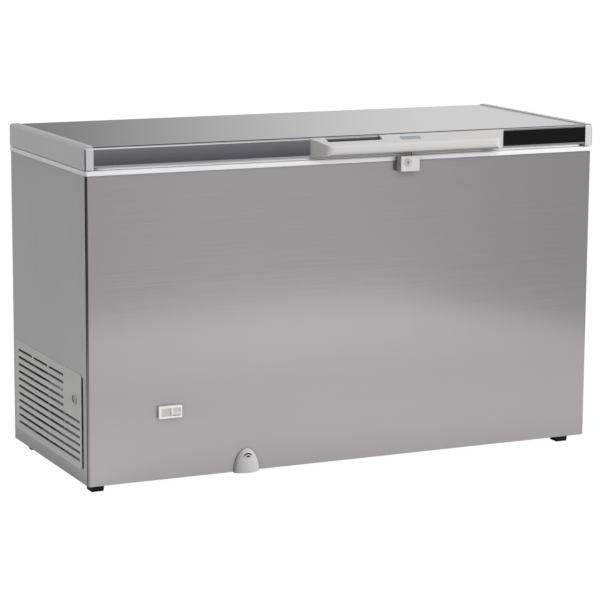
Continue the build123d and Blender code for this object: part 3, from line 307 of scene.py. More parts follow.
# zinc-coated sheet with its crystal spangle
galvanisedSheet = {
    "tone": (0.50, 0.52, 0.53),
    "tones": (0.84, 1.12),
    "cell": 85.0,
    "rough": 0.36,
    "roughSpread": (-0.06, 0.10),
    "fine": 300.0,
    "grain": 0.04,
    "depth": 0.0003,
    "edge": 0.0008,
}


def galvanisedFinish(slot, f):
    material, tree, shader, place = startFinish(slot)
    cells = addNode(tree, "ShaderNodeTexVoronoi")
    feed(tree, cells, Vector=place, Scale=f["cell"])
    grey = addNode(tree, "ShaderNodeSeparateColor")
    tree.links.new(cells.outputs["Color"], grey.inputs[0])
    flake = grey.outputs[0]
    tone = mixOf(tree, flake, *(shade(f["tone"], share) for share in f["tones"]))
    rough = roughOf(tree, flake, f["rough"], f["roughSpread"], (0.0, 1.0))
    soft = edgeOf(tree, f["edge"])[1]
    bump = bumpOf(tree, noiseOf(tree, place, f["fine"]), f["grain"], f["depth"], soft)
    endFinish(tree, shader, tone, rough, bump, 1.0)
    return material


# embossed aluminium of the storage space
embossedSheet = {
    "tone": (0.80, 0.805, 0.81),
    "tones": (0.93, 1.06),
    "metal": 0.6,
    "rough": 0.38,
    "roughSpread": (-0.05, 0.08),
    "frost": {"scale": 5.0, "detail": 4.0},
    "cell": 150.0,
    "smooth": 0.6,
    "wobble": 60.0,
    "wobbleReach": 0.006,
    "relief": 0.55,
    "depth": 0.0007,
}


def embossedFinish(slot, f):
    material, tree, shader, place = startFinish(slot)
    wobble = addNode(tree, "ShaderNodeTexNoise")
    feed(tree, wobble, Vector=place, Scale=f["wobble"], Detail=2.0)
    moved = addNode(tree, "ShaderNodeVectorMath", operation="MULTIPLY_ADD")
    tree.links.new(wobble.outputs["Color"], moved.inputs[0])
    moved.inputs[1].default_value = (f["wobbleReach"],) * 3
    tree.links.new(place, moved.inputs[2])
    cells = addNode(tree, "ShaderNodeTexVoronoi", feature="SMOOTH_F1")
    feed(tree, cells, Vector=moved.outputs[0], Scale=f["cell"], Smoothness=f["smooth"])
    frost = noiseOf(tree, place, **f["frost"])
    rough = roughOf(tree, frost, f["rough"], f["roughSpread"])
    bump = bumpOf(tree, cells.outputs["Distance"], f["relief"], f["depth"])
    endFinish(tree, shader, toneOf(tree, frost, f["tone"], f["tones"]), rough, bump, f["metal"])
    return material


# small metal parts
smallMetals = {
    "zinc": {"tone": (0.60, 0.60, 0.57), "stain": (0.42, 0.41, 0.37), "rough": 0.34, "fine": 140.0},
    "pin_steel": {"tone": (0.68, 0.68, 0.69), "stain": (0.50, 0.50, 0.50), "rough": 0.20, "fine": 200.0},
    "spring_steel": {"tone": (0.30, 0.30, 0.31), "stain": (0.20, 0.19, 0.19), "rough": 0.30, "fine": 240.0},
    "lock_chrome": {"tone": (0.80, 0.79, 0.78), "stain": (0.72, 0.71, 0.70), "rough": 0.42, "fine": 300.0},
    "copper": {"tone": (0.34, 0.19, 0.13), "stain": (0.16, 0.10, 0.075), "rough": 0.42, "fine": 90.0},
}
metalWear = {
    "noise": {"detail": 4.0, "rough": 0.6},
    "broad": 24.0,
    "stainSpan": (0.42, 0.72),
    "stainMost": 0.8,
    "edge": 0.0006,
    "edgeShare": 0.4,
    "edgeTone": 1.3,
    # painted shade near other parts: reach, span of openness, share of the tone left
    "cornerShadeReach": 0.016,
    "cornerShadeSpan": (0.2, 0.8),
    "cornerShadeTone": 0.3,
    "roughSpread": (-0.05, 0.08),
    "grain": 0.06,
    "depth": 0.0002,
}


def smallMetalFinish(slot, f):
    w = metalWear
    material, tree, shader, place = startFinish(slot)
    fine, broad = (noiseOf(tree, place, scale, **w["noise"]) for scale in (f["fine"], w["broad"]))
    edge, soft = edgeOf(tree, w["edge"])
    tone = mixOf(tree, rangeOf(tree, broad, *w["stainSpan"], 0.0, w["stainMost"]), f["tone"], f["stain"])
    tone = worn(tree, tone, edge, w["edgeShare"], shade(f["tone"], w["edgeTone"]))
    # painted shade: darker where other parts are near
    corner = opennessOf(tree, w["cornerShadeReach"], fewSamples)
    tone = dimmed(tree, tone, rangeOf(tree, corner, *w["cornerShadeSpan"], w["cornerShadeTone"], 1.0))
    rough = roughOf(tree, fine, f["rough"], w["roughSpread"])
    endFinish(tree, shader, tone, rough, bumpOf(tree, fine, w["grain"], w["depth"], soft), 1.0)
    return material


# painted sheets, a little duller, and darker towards the floor with painted shade
paintFinishes = {
    # low: share of the tone left by painted shade at the foot
    "side_sheet": {"tone": (0.485, 0.485, 0.483), "rough": 0.40, "peel": 0.05, "low": 0.74},
    "rear_sheet": {"tone": (0.46, 0.46, 0.458), "rough": 0.45, "peel": 0.06, "low": 0.88},
    "compressor_paint": {"tone": (0.012, 0.012, 0.013), "rough": 0.38, "peel": 0.10, "low": 1.0},
}
paintWear = {
    "cloud": {"scale": 3.0},
    "peel": {"scale": 420.0, "detail": 2.0},
    "dust": {"scale": 38.0, "detail": 5.0, "rough": 0.7},
    "dustSpan": (0.35, 0.7),
    "tones": (0.975, 1.025),
    "footShadeRise": (0.03, 0.075),  # heights between which the painted shade at the foot ends
    "edge": 0.0010,
    "edgeShare": 0.25,
    "edgeTone": 1.3,
    "roughSpread": (-0.04, 0.06),
    "depth": 0.0003,
}


def paintFinish(slot, f):
    w = paintWear
    material, tree, shader, place = startFinish(slot)
    cloud, peel, dust = (noiseOf(tree, place, **w[kind]) for kind in ("cloud", "peel", "dust"))
    tone = toneOf(tree, cloud, f["tone"], w["tones"])
    # painted shade: darker towards the foot
    tone = dimmed(tree, tone, rangeOf(tree, splitOf(tree, place)[2], *w["footShadeRise"], f["low"], 1.0, True))
    edge, soft = edgeOf(tree, w["edge"])
    tone = worn(tree, tone, edge, w["edgeShare"], shade(f["tone"], w["edgeTone"]))
    rough = roughOf(tree, dust, f["rough"], w["roughSpread"], w["dustSpan"])
    endFinish(tree, shader, tone, rough, bumpOf(tree, peel, f["peel"], w["depth"], soft))
    return material


# moulded plastics and rubbers
# crease: share of the tone left by painted shade in creases
mouldedFinishes = {
    "frame_plastic": {
        "tone": (0.92, 0.905, 0.935), "rough": 0.34, "grain": 0.05, "sheen": 0.5,
        "contactShadow": (0.08, 0.4, 0.9, 0.4),  # painted shadow: reach, span of openness, share of the tone left where shut
    },
    "grille_plastic": {
        "tone": (0.605, 0.605, 0.597), "rough": 0.5, "grain": 0.12, "sheen": 0.4, "crease": 0.6,
    },
    "thermostat_plastic": {"tone": (0.035, 0.035, 0.035), "rough": 0.5, "grain": 0.1, "sheen": 0.5},
    "knob_plastic": {
        "tone": (0.74, 0.74, 0.72), "rough": 0.36, "grain": 0.08, "sheen": 0.5,
        "ring": (-0.1965, 0.245, 0.0112),  # its dish wall is painted dark as shade: middle in Y and Z, and reach
    },
    "bezel_plastic": {"tone": (0.99, 0.965, 0.945), "rough": 0.35, "grain": 0.05, "sheen": 0.5},
    "window_plastic": {"tone": (0.62, 0.61, 0.58), "rough": 0.2, "grain": 0.03, "sheen": 0.5},
    "rocker_plastic": {"tone": (0.68, 0.67, 0.645), "rough": 0.3, "grain": 0.05, "sheen": 0.5},
    "drain_plastic": {"tone": (0.59, 0.572, 0.574), "rough": 0.45, "grain": 0.1, "sheen": 0.45},
    "pipe_plastic": {"tone": (0.32, 0.32, 0.32), "rough": 0.5, "grain": 0.08, "sheen": 0.5},
    "foot_rubber": {"tone": (0.010, 0.010, 0.010), "rough": 0.62, "grain": 0.2, "sheen": 0.35},
    "roller_plastic": {"tone": (0.014, 0.014, 0.015), "rough": 0.5, "grain": 0.12, "sheen": 0.4},
    "cap_plastic": {"tone": (0.635, 0.628, 0.642), "rough": 0.40, "grain": 0.07, "sheen": 0.45},
    "black_gloss": {"tone": (0.0045, 0.0043, 0.0043), "rough": 0.09, "grain": 0.012, "sheen": 0.2},
    "inner_plastic": {"tone": (0.78, 0.78, 0.775), "rough": 0.36, "grain": 0.06, "sheen": 0.5},
    "gasket_rubber": {
        "tone": (0.88, 0.88, 0.885), "rough": 0.6, "grain": 0.08, "sheen": 0.4, "crease": 0.85,
        # painted shadow in the gap under the handle
        "contactShadow": (0.06, 0.05, 0.3, 0.4),
    },
    "handle_plastic": {
        "tone": (0.655, 0.645, 0.63), "rough": 0.38, "grain": 0.08, "sheen": 0.5,
        # painted shadow on the handle's underside
        "contactShadow": (0.045, 0.3, 0.85, 0.5),
    },
    "lock_plastic": {"tone": (0.69, 0.68, 0.665), "rough": 0.36, "grain": 0.05, "sheen": 0.5},
    "relay_plastic": {"tone": (0.016, 0.016, 0.016), "rough": 0.5, "grain": 0.12, "sheen": 0.4},
}
mouldWear = {
    "cloud": {"scale": 5.0, "detail": 2.0},
    "grain": {"scale": 1500.0, "detail": 2.0},
    "smudge": {"scale": 26.0, "detail": 5.0, "rough": 0.65},
    "smudgeSpan": (0.35, 0.7),
    "tones": (0.97, 1.03),
    "edge": 0.0008,
    "edgeShare": 0.2,
    "edgeTone": 1.2,
    # reach and span of openness for the painted shade in creases
    "creaseShadeReach": 0.007,
    "creaseShadeSpan": (0.25, 0.85),
    "crease": 0.45,  # share of the tone left by painted shade in a crease, where a finish has none of its own
    "wallFacing": 0.6,  # most of the normal along an axis that still counts as a wall of it
    # colour of the painted shade on the knob's dish wall
    "ringShadeTone": (0.012, 0.012, 0.012),
    "roughSpread": (-0.04, 0.06),
    "depth": 0.0002,
}


def wallOf(tree, place, middleY, middleZ, reach):  # 1 on walls within reach of an axis along X
    spot = splitOf(tree, place)
    offY = mathOf(tree, "POWER", mathOf(tree, "SUBTRACT", spot[1], middleY), 2.0)
    offZ = mathOf(tree, "POWER", mathOf(tree, "SUBTRACT", spot[2], middleZ), 2.0)
    near = mathOf(tree, "LESS_THAN", mathOf(tree, "ADD", offY, offZ), reach ** 2)
    along = mathOf(tree, "ABSOLUTE", splitOf(tree, normalOf(tree))[0])
    return mathOf(tree, "MULTIPLY", near, mathOf(tree, "LESS_THAN", along, mouldWear["wallFacing"]))


def mouldedFinish(slot, f):
    w = mouldWear
    material, tree, shader, place = startFinish(slot)
    cloud, grain, smudge = (noiseOf(tree, place, **w[kind]) for kind in ("cloud", "grain", "smudge"))
    tone = toneOf(tree, cloud, f["tone"], w["tones"])
    edge, soft = edgeOf(tree, w["edge"])
    tone = worn(tree, tone, edge, w["edgeShare"], shade(f["tone"], w["edgeTone"]))
    # painted shade: darker in creases
    corner = opennessOf(tree, w["creaseShadeReach"], fewSamples, True)
    tone = dimmed(tree, tone, rangeOf(tree, corner, *w["creaseShadeSpan"], f.get("crease", w["crease"]), 1.0))
    # painted shadow: darker where other parts are near, except on faces turned up
    if "contactShadow" in f:
        reach, shut, clear, share = f["contactShadow"]
        shadow = rangeOf(tree, opennessOf(tree, reach, fineSamples), shut, clear, share, 1.0)
        upright = mathOf(tree, "LESS_THAN", splitOf(tree, normalOf(tree))[2], w["wallFacing"])
        tone = mixOf(tree, upright, tone, shadow, "MULTIPLY")
    # painted shade: the knob's dish wall darkened
    if "ring" in f:
        tone = mixOf(tree, wallOf(tree, place, *f["ring"]), tone, w["ringShadeTone"])
    shader.inputs["Specular IOR Level"].default_value = f["sheen"]
    rough = roughOf(tree, smudge, f["rough"], w["roughSpread"], w["smudgeSpan"])
    endFinish(tree, shader, tone, rough, bumpOf(tree, grain, f["grain"], w["depth"], soft))
    return material


# rigid foam between the sheets
foamFill = {
    "tone": (0.72, 0.60, 0.36),
    "tones": (0.85, 1.1),
    "cloud": {"scale": 12.0, "detail": 4.0},
    "rough": 0.85,
    "cell": 420.0,
    "relief": 0.5,
    "depth": 0.0006,
}


def foamFinish(slot, f):
    material, tree, shader, place = startFinish(slot)
    cells = addNode(tree, "ShaderNodeTexVoronoi")
    feed(tree, cells, Vector=place, Scale=f["cell"])
    tone = toneOf(tree, noiseOf(tree, place, **f["cloud"]), f["tone"], f["tones"])
    bump = bumpOf(tree, cells.outputs["Distance"], f["relief"], f["depth"])
    endFinish(tree, shader, tone, f["rough"], bump)
    return material


finishes = {slot: brushedFinish(slot, f) for slot, f in brushedFinishes.items()}
finishes.update({slot: smallMetalFinish(slot, f) for slot, f in smallMetals.items()})
finishes.update({slot: paintFinish(slot, f) for slot, f in paintFinishes.items()})
finishes.update({slot: mouldedFinish(slot, f) for slot, f in mouldedFinishes.items()})
finishes["dark_steel"] = darkStripFinish("dark_steel", darkStrip)
finishes["galvanised"] = galvanisedFinish("galvanised", galvanisedSheet)
finishes["liner_sheet"] = embossedFinish("liner_sheet", embossedSheet)
finishes["foam"] = foamFinish("foam", foamFill)
for part in frame["record"]["subparts"]:
    nodes[part["node"]].material_slots[0].material = finishes[part["material_slot"]]
print("finishes made:", len(finishes))


# small helpers for geometry trees
mergeGap = 1e-6
bevelFrom = 40.0  # degrees between two faces
toLeftSide = (math.pi / 2, 0.0, math.pi / 2)  # turns X to the cabinet's Y, and Y to its Z


def startShape(name, sizes):
    tree = bpy.data.node_groups.new(name, "GeometryNodeTree")
    tree.interface.new_socket("Shape", in_out="OUTPUT", socket_type="NodeSocketGeometry")
    for label, value in sizes.items():
        kind = "NodeSocketInt" if isinstance(value, int) else "NodeSocketFloat"
        tree.interface.new_socket(label, in_out="INPUT", socket_type=kind)
    return tree, addNode(tree, "NodeGroupInput").outputs


def made(tree, kind, settings=None, **sockets):  # first output of a new node
    return feed(tree, addNode(tree, kind, **(settings or {})), **sockets).outputs[0]


def spotOf(tree, x=0.0, y=0.0, z=0.0):
    return made(tree, "ShaderNodeCombineXYZ", X=x, Y=y, Z=z)


def sumOf(tree, *shapes):
    join = addNode(tree, "GeometryNodeJoinGeometry")
    for shape in reversed(shapes):
        tree.links.new(shape, join.inputs[0])
    return join.outputs[0]


def cutOf(tree, shape, cutter, kind="DIFFERENCE"):
    node = addNode(tree, "GeometryNodeMeshBoolean", operation=kind, solver="EXACT")
    if kind == "DIFFERENCE":
        tree.links.new(shape, node.inputs["Mesh 1"])
    else:
        tree.links.new(shape, node.inputs["Mesh 2"])
    tree.links.new(cutter, node.inputs["Mesh 2"])
    node.inputs["Self Intersection"].default_value = True
    return node.outputs[0]


def copiesOf(tree, points, shape):
    copies = made(tree, "GeometryNodeInstanceOnPoints", Points=points, Instance=shape)
    return made(tree, "GeometryNodeRealizeInstances", Geometry=copies)


def rowOf(tree, count, start, step):
    return made(tree, "GeometryNodeMeshLine", Count=count, Start_Location=start, Offset=step)


def roundedOf(tree, outline, corner, steps):
    kind = {"mode": "POLY"}
    return made(tree, "GeometryNodeFilletCurve", kind, Curve=outline, Count=steps, Radius=corner)


def cylinderOf(tree, sides, radius, depth):
    kind = {"fill_type": "NGON"}
    return made(tree, "GeometryNodeMeshCylinder", kind, Vertices=sides, Radius=radius, Depth=depth)


def lineOf(tree, count):  # straight curve whose points are then set in place
    line = made(tree, "GeometryNodeCurvePrimitiveLine")
    return made(tree, "GeometryNodeResampleCurve", {"mode": "COUNT"}, Curve=line, Count=count)


def slabOf(tree, length, height, corner, depth, steps=4):  # rounded plate, from z 0 to its depth
    outline = made(tree, "GeometryNodeCurvePrimitiveQuadrilateral", Width=length, Height=height)
    outline = roundedOf(tree, outline, corner, steps)
    face = made(tree, "GeometryNodeFillCurve", {"mode": "NGONS"}, Curve=outline)
    wall = made(
        tree, "GeometryNodeExtrudeMesh", Mesh=face, Offset=spotOf(tree, z=1.0), Offset_Scale=depth,
        Individual=False,
    )
    back = made(tree, "GeometryNodeFlipFaces", Mesh=face)
    return made(tree, "GeometryNodeMergeByDistance", Geometry=sumOf(tree, wall, back), Distance=mergeGap)


def moved(tree, shape, place, turn=(0.0, 0.0, 0.0)):
    return made(tree, "GeometryNodeTransform", Geometry=shape, Translation=place, Rotation=turn)


def endShape(tree, shape, slot):
    shape = made(tree, "GeometryNodeRealizeInstances", Geometry=shape)
    shape = made(tree, "GeometryNodeSetMaterial", Geometry=shape, Material=finishes[slot])
    tree.links.new(shape, addNode(tree, "NodeGroupOutput").inputs[0])


def shapeToPiece(name, tree, sizes, edge=0.0, sharp=35.0):  # folds past the sharp angle stay crisp
    piece = bpy.data.objects.new(name, bpy.data.meshes.new(name))
    bpy.context.scene.collection.objects.link(piece)
    shape = piece.modifiers.new("shape", "NODES")
    shape.node_group = tree
    for socket in tree.interface.items_tree:
        if socket.in_out == "INPUT":
            shape[socket.identifier] = sizes[socket.name]
    if edge:
        bevel = piece.modifiers.new("edge", "BEVEL")
        bevel.width = edge
        bevel.segments = 2
        bevel.limit_method = "ANGLE"
        bevel.angle_limit = math.radians(bevelFrom)
    graph = bpy.context.evaluated_depsgraph_get()
    mesh = bpy.data.meshes.new_from_object(piece.evaluated_get(graph), depsgraph=graph)
    piece.modifiers.clear()
    piece.data = mesh
    mesh.name = name
    work = bmesh.new()
    work.from_mesh(mesh)
    bmesh.ops.remove_doubles(work, verts=work.verts, dist=mergeGap)
    bmesh.ops.recalc_face_normals(work, faces=work.faces)
    work.to_mesh(mesh)
    work.free()
    mesh.shade_smooth()
    mesh.set_sharp_from_angle(angle=math.radians(sharp))
    return piece


# hinge springs, wound round the pins from a cabinet leg to a lid leg
springSizes = {
    "Turns": 7,
    "Steps per turn": 28,
    "Pitch": 0.0032,
    "Coil radius": 0.0056,
    "Wire radius": 0.0011,
    "Wire sides": 12,
    "Leg": 0.013,
    "Pin Y": 0.3285,
    "Pin Z": 0.860,
    "Start X": 0.0,
}
springSides = {"Left": -0.470, "Right": 0.470}  # middle of each hinge


def springTree(sizes):
    tree, given = startShape("hingeSpring", sizes)
    steps = mathOf(tree, "MULTIPLY", given["Turns"], given["Steps per turn"])
    line = lineOf(tree, mathOf(tree, "ADD", steps, 3.0))  # the coil's points and the ends of both legs
    place = made(tree, "GeometryNodeInputIndex")
    share = mathOf(tree, "DIVIDE", mathOf(tree, "SUBTRACT", place, 1.0), steps, True)
    angle = mathOf(tree, "MULTIPLY", share, mathOf(tree, "MULTIPLY", given["Turns"], 2.0 * math.pi))
    past = mathOf(tree, "GREATER_THAN", place, mathOf(tree, "ADD", steps, 1.5))
    ahead = mathOf(tree, "LESS_THAN", place, 0.5)
    leg = mathOf(tree, "MULTIPLY", mathOf(tree, "SUBTRACT", past, ahead), given["Leg"])
    grade = mathOf(tree, "DIVIDE", given["Pitch"], 2.0 * math.pi)
    radius = given["Coil radius"]
    squares = (mathOf(tree, "POWER", length, 2.0) for length in (grade, radius))
    slope = mathOf(tree, "SQRT", mathOf(tree, "ADD", *squares))
    onward = mathOf(tree, "DIVIDE", leg, slope)
    along = mathOf(tree, "ADD", angle, onward)
    x = mathOf(tree, "ADD", given["Start X"], mathOf(tree, "MULTIPLY", grade, along))
    out = mathOf(tree, "MULTIPLY", radius, mathOf(tree, "COSINE", angle))
    y = mathOf(tree, "SUBTRACT", given["Pin Y"], out)
    rise = mathOf(tree, "ADD", mathOf(tree, "SINE", angle), onward)
    z = mathOf(tree, "ADD", given["Pin Z"], mathOf(tree, "MULTIPLY", radius, rise))
    line = made(tree, "GeometryNodeSetPosition", Geometry=line, Position=spotOf(tree, x, y, z))
    wire = made(
        tree, "GeometryNodeCurvePrimitiveCircle", Resolution=given["Wire sides"],
        Radius=given["Wire radius"],
    )
    coil = made(tree, "GeometryNodeCurveToMesh", Curve=line, Profile_Curve=wire, Fill_Caps=True)
    endShape(tree, coil, "spring_steel")
    return tree


hingeSpring = springTree(springSizes)
for side, middle in springSides.items():
    coil = springSizes["Turns"] * springSizes["Pitch"]
    sizes = dict(springSizes, **{"Start X": middle - coil / 2})
    spring = shapeToPiece("hingeSpring" + side, hingeSpring, sizes)
    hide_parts("hinge_spring_" + side.lower())
    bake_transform(spring)
print("hinge springs wound")


# hinge screws with cross recesses
screwSizes = {
    "Hinge reach": 0.470,
    "Columns": 2,
    "Column step": 0.046,
    "Rows": 2,
    "Row step": 0.023,
    "Low Z": 0.752,
    "Face Y": 0.3165,
    "Head radius": 0.0042,
    "Head height": 0.002,
    "Head sides": 32,
    "Crown": 0.62,  # of the head's radius
    "Recess length": 1.05,  # of the head's radius
    "Recess width": 0.24,  # of the head's radius
    "Recess depth": 1.3,  # of the head's height, half of it above the head
    "Shank radius": 0.002,
    "Shank length": 0.012,
    "Shank sides": 20,
    "Shank drop": -0.499,  # of its length, so that it reaches a little into the head
}
leafScrews = {"Columns": 3, "Column step": 0.013, "Rows": 1, "Row step": 0.0, "Low Z": 0.8975}


def screwTree(sizes):
    tree, given = startShape("hingeScrew", sizes)
    radius, tall = given["Head radius"], given["Head height"]
    crown, wide, slim = (
        mathOf(tree, "MULTIPLY", radius, given[k]) for k in ("Crown", "Recess length", "Recess width")
    )
    head = made(
        tree, "GeometryNodeMeshCone", {"fill_type": "NGON"}, Vertices=given["Head sides"], Side_Segments=1,
        Radius_Top=crown, Radius_Bottom=radius, Depth=tall,
    )
    length = given["Shank length"]
    shank = cylinderOf(tree, given["Shank sides"], given["Shank radius"], length)
    drop = mathOf(tree, "MULTIPLY", length, given["Shank drop"])
    screw = cutOf(tree, head, moved(tree, shank, spotOf(tree, z=drop)), "UNION")
    top = spotOf(tree, z=tall)
    deep = mathOf(tree, "MULTIPLY", tall, given["Recess depth"])
    for size in (spotOf(tree, wide, slim, deep), spotOf(tree, slim, wide, deep)):
        screw = cutOf(tree, screw, moved(tree, made(tree, "GeometryNodeMeshCube", Size=size), top))
    screw = moved(tree, screw, (0.0, 0.0, 0.0), (-math.pi / 2, 0.0, 0.0))
    half = mathOf(tree, "MULTIPLY", mathOf(tree, "SUBTRACT", given["Columns"], 1.0), -0.5)
    start = spotOf(tree, mathOf(tree, "MULTIPLY", half, given["Column step"]))
    columns = rowOf(tree, given["Columns"], start, spotOf(tree, given["Column step"]))
    rows = rowOf(tree, given["Rows"], (0.0, 0.0, 0.0), spotOf(tree, z=given["Row step"]))
    reach = given["Hinge reach"]
    first = spotOf(tree, mathOf(tree, "MULTIPLY", reach, -1.0), given["Face Y"], given["Low Z"])
    hinges = rowOf(tree, 2, first, spotOf(tree, mathOf(tree, "MULTIPLY", reach, 2.0)))
    places = copiesOf(tree, copiesOf(tree, hinges, rows), columns)
    endShape(tree, made(tree, "GeometryNodeInstanceOnPoints", Points=places, Instance=screw), "zinc")
    return tree


hingeScrew = screwTree(screwSizes)
for name, body, node, change in (
    ("hingeBaseScrews", "cabinet", "hinge_base_screws", {}),
    ("hingeLeafScrews", "lid", "hinge_leaf_screws", leafScrews),
):
    screws = shapeToPiece(name, hingeScrew, dict(screwSizes, **change))
    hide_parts(node)
    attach(screws, body)
print("hinge screws set")


# lid gasket: a flange under the lid, a bellows and a soft foot, all round
gasketSizes = {
    "Length": 1.4404,
    "Depth": 0.579,
    "Corner": 0.016,
    "Corner steps": 10,
    "Middle Y": 0.011,
    "Low Z": 0.8563,
    "Width": 0.018,
    "Height": 0.0077,
}
# right half of its section, in shares of its width and height, from the foot up
gasketHalf = [
    (0.20, 0.0), (0.30, 0.03), (0.37, 0.11), (0.405, 0.24), (0.40, 0.36), (0.36, 0.46), (0.29, 0.53),
    (0.255, 0.60), (0.27, 0.67), (0.33, 0.735), (0.42, 0.78), (0.49, 0.83), (0.50, 0.90), (0.50, 1.0),
]


def gasketTree(sizes, half):
    tree, given = startShape("lidGasket", sizes)
    long, deep = given["Length"], given["Depth"]
    ring = made(tree, "GeometryNodeCurvePrimitiveQuadrilateral", Width=long, Height=deep)
    ring = roundedOf(tree, ring, given["Corner"], given["Corner steps"])
    ring = made(tree, "GeometryNodeSetCurveNormal", {"mode": "Z_UP"}, Curve=ring)
    outline = half + [(-across, up) for across, up in reversed(half)]
    spots = addNode(tree, "GeometryNodeIndexSwitch", data_type="VECTOR")
    while len(spots.index_switch_items) < len(outline):
        spots.index_switch_items.new()
    for i, (across, up) in enumerate(outline):
        spots.inputs[i + 1].default_value = (across, -up, 0.0)
    tree.links.new(made(tree, "GeometryNodeInputIndex"), spots.inputs[0])
    section = made(
        tree, "GeometryNodeSetPosition", Geometry=lineOf(tree, len(outline)), Position=spots.outputs[0]
    )
    section = made(tree, "GeometryNodeSetSplineCyclic", Geometry=section, Cyclic=True)
    sized = spotOf(tree, given["Width"], given["Height"], 1.0)
    section = made(tree, "GeometryNodeTransform", Geometry=section, Scale=sized)
    body = made(tree, "GeometryNodeCurveToMesh", Curve=ring, Profile_Curve=section)
    endShape(tree, moved(tree, body, spotOf(tree, 0.0, given["Middle Y"], given["Low Z"])), "gasket_rubber")
    return tree


gasket = shapeToPiece("lidGasketSeal", gasketTree(gasketSizes, gasketHalf), gasketSizes, sharp=50.0)
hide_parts("lid_gasket")
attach(gasket, "lid")
print("gasket run round the lid")


# side grille: a lapped frame, rows of slots, and the hole for the dial
grilleSizes = {
    "Length": 0.536,
    "Height": 0.254,
    "Corner": 0.008,
    "Corner steps": 8,
    "Lap": 0.0063,
    "Lap thickness": 0.002,
    "Inner corner": 0.002,
    "Depth": 0.005,
    "Slot length": 0.119,
    "Slot height": 0.007,
    "Slot corner": 0.0018,
    "Bridge": 0.007,
    "Top slot length": 0.115,
    "Top bridge": 0.013,
    "Bridge set-back": 0.0024,
    "Channel room": 0.0005,  # by which the set-back is wider than the slots
    "Row step": 0.0205,
    "First row": 0.026,  # below the top edge
    "Rear margin": 0.025,
    "Dial Y": -0.219,  # from the grille's middle
    "Dial Z": 0.055,
    "Dial radius": 0.0134,
    "Dial sides": 64,
    "Middle Y": 0.0225,
    "Middle Z": 0.190,
    "Face X": -0.752,
}
# first row, row after the last, slots in each
grilleRows = {"Top": (0, 1, 3), "upper": (1, 5, 3), "lower": (5, 11, 4)}


def grilleTree(sizes, rows):
    tree, given = startShape("sideGrille", sizes)
    deep = given["Depth"]
    outer = [given[k] for k in ("Length", "Height")]
    lap = slabOf(tree, *outer, given["Corner"], given["Lap thickness"], given["Corner steps"])
    twice = mathOf(tree, "MULTIPLY", given["Lap"], -2.0)
    inner = [mathOf(tree, "ADD", side, twice) for side in outer]
    grille = cutOf(tree, lap, slabOf(tree, *inner, given["Inner corner"], deep), "UNION")
    rear = mathOf(tree, "SUBTRACT", mathOf(tree, "MULTIPLY", given["Length"], 0.5), given["Rear margin"])
    top = mathOf(tree, "SUBTRACT", mathOf(tree, "MULTIPLY", given["Height"], 0.5), given["First row"])
    through = mathOf(tree, "MULTIPLY", deep, 2.0)
    down = spotOf(tree, 0.0, mathOf(tree, "MULTIPLY", given["Row step"], -1.0))
    for band, (first, after, count) in rows.items():
        wide, bridge = given["Slot length"], given["Bridge"]
        if band == "Top":
            wide, bridge = given["Top slot length"], given["Top bridge"]
        step = mathOf(tree, "ADD", wide, bridge)
        slot = slabOf(tree, wide, given["Slot height"], given["Slot corner"], through)
        slot = moved(tree, slot, spotOf(tree, z=mathOf(tree, "MULTIPLY", deep, -0.5)))
        level = mathOf(tree, "SUBTRACT", top, mathOf(tree, "MULTIPLY", given["Row step"], float(first)))
        start = mathOf(tree, "SUBTRACT", rear, mathOf(tree, "MULTIPLY", wide, 0.5))
        across = rowOf(tree, count, (0.0, 0.0, 0.0), spotOf(tree, mathOf(tree, "MULTIPLY", step, -1.0)))
        column = rowOf(tree, after - first, spotOf(tree, start, level), down)
        grille = cutOf(tree, grille, copiesOf(tree, copiesOf(tree, column, across), slot))
        if band == "Top":
            continue
        # the bridges between slots stand back from the face, except in the top row
        long = mathOf(tree, "SUBTRACT", mathOf(tree, "MULTIPLY", step, float(count)), bridge)
        back = mathOf(tree, "MULTIPLY", given["Bridge set-back"], 2.0)
        room = given["Channel room"]
        channel = slabOf(
            tree, mathOf(tree, "ADD", long, room), mathOf(tree, "ADD", given["Slot height"], room),
            given["Slot corner"], back,
        )
        channel = moved(tree, channel, spotOf(tree, z=mathOf(tree, "MULTIPLY", back, -0.5)))
        middle = mathOf(tree, "SUBTRACT", rear, mathOf(tree, "MULTIPLY", long, 0.5))
        column = rowOf(tree, after - first, spotOf(tree, middle, level), down)
        grille = cutOf(tree, grille, copiesOf(tree, column, channel))
    dial = cylinderOf(tree, given["Dial sides"], given["Dial radius"], through)
    middle = spotOf(tree, given["Dial Y"], given["Dial Z"], mathOf(tree, "MULTIPLY", deep, 0.5))
    grille = cutOf(tree, grille, moved(tree, dial, middle))
    place = spotOf(tree, given["Face X"], given["Middle Y"], given["Middle Z"])
    endShape(tree, moved(tree, grille, place, toLeftSide), "grille_plastic")
    return tree


grilleShape = grilleTree(grilleSizes, grilleRows)
grille = shapeToPiece("sideGrilleSlots", grilleShape, grilleSizes, edge=0.0005, sharp=20.0)
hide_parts("side_grille")
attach(grille, "cabinet")
print("grille cut")


# graduations moulded round the dial, longer towards the cold end
dialMarks = {
    "Count": 8,
    "Radius": 0.0185,
    "From": -225.0,
    "Sweep": 270.0,
    "Short": 0.0022,
    "Growth": 0.0004,
    "Width": 0.0011,
    "Height": 0.0004,
    "Middle Y": -0.1965,
    "Middle Z": 0.245,
    "Face X": -0.752,
}


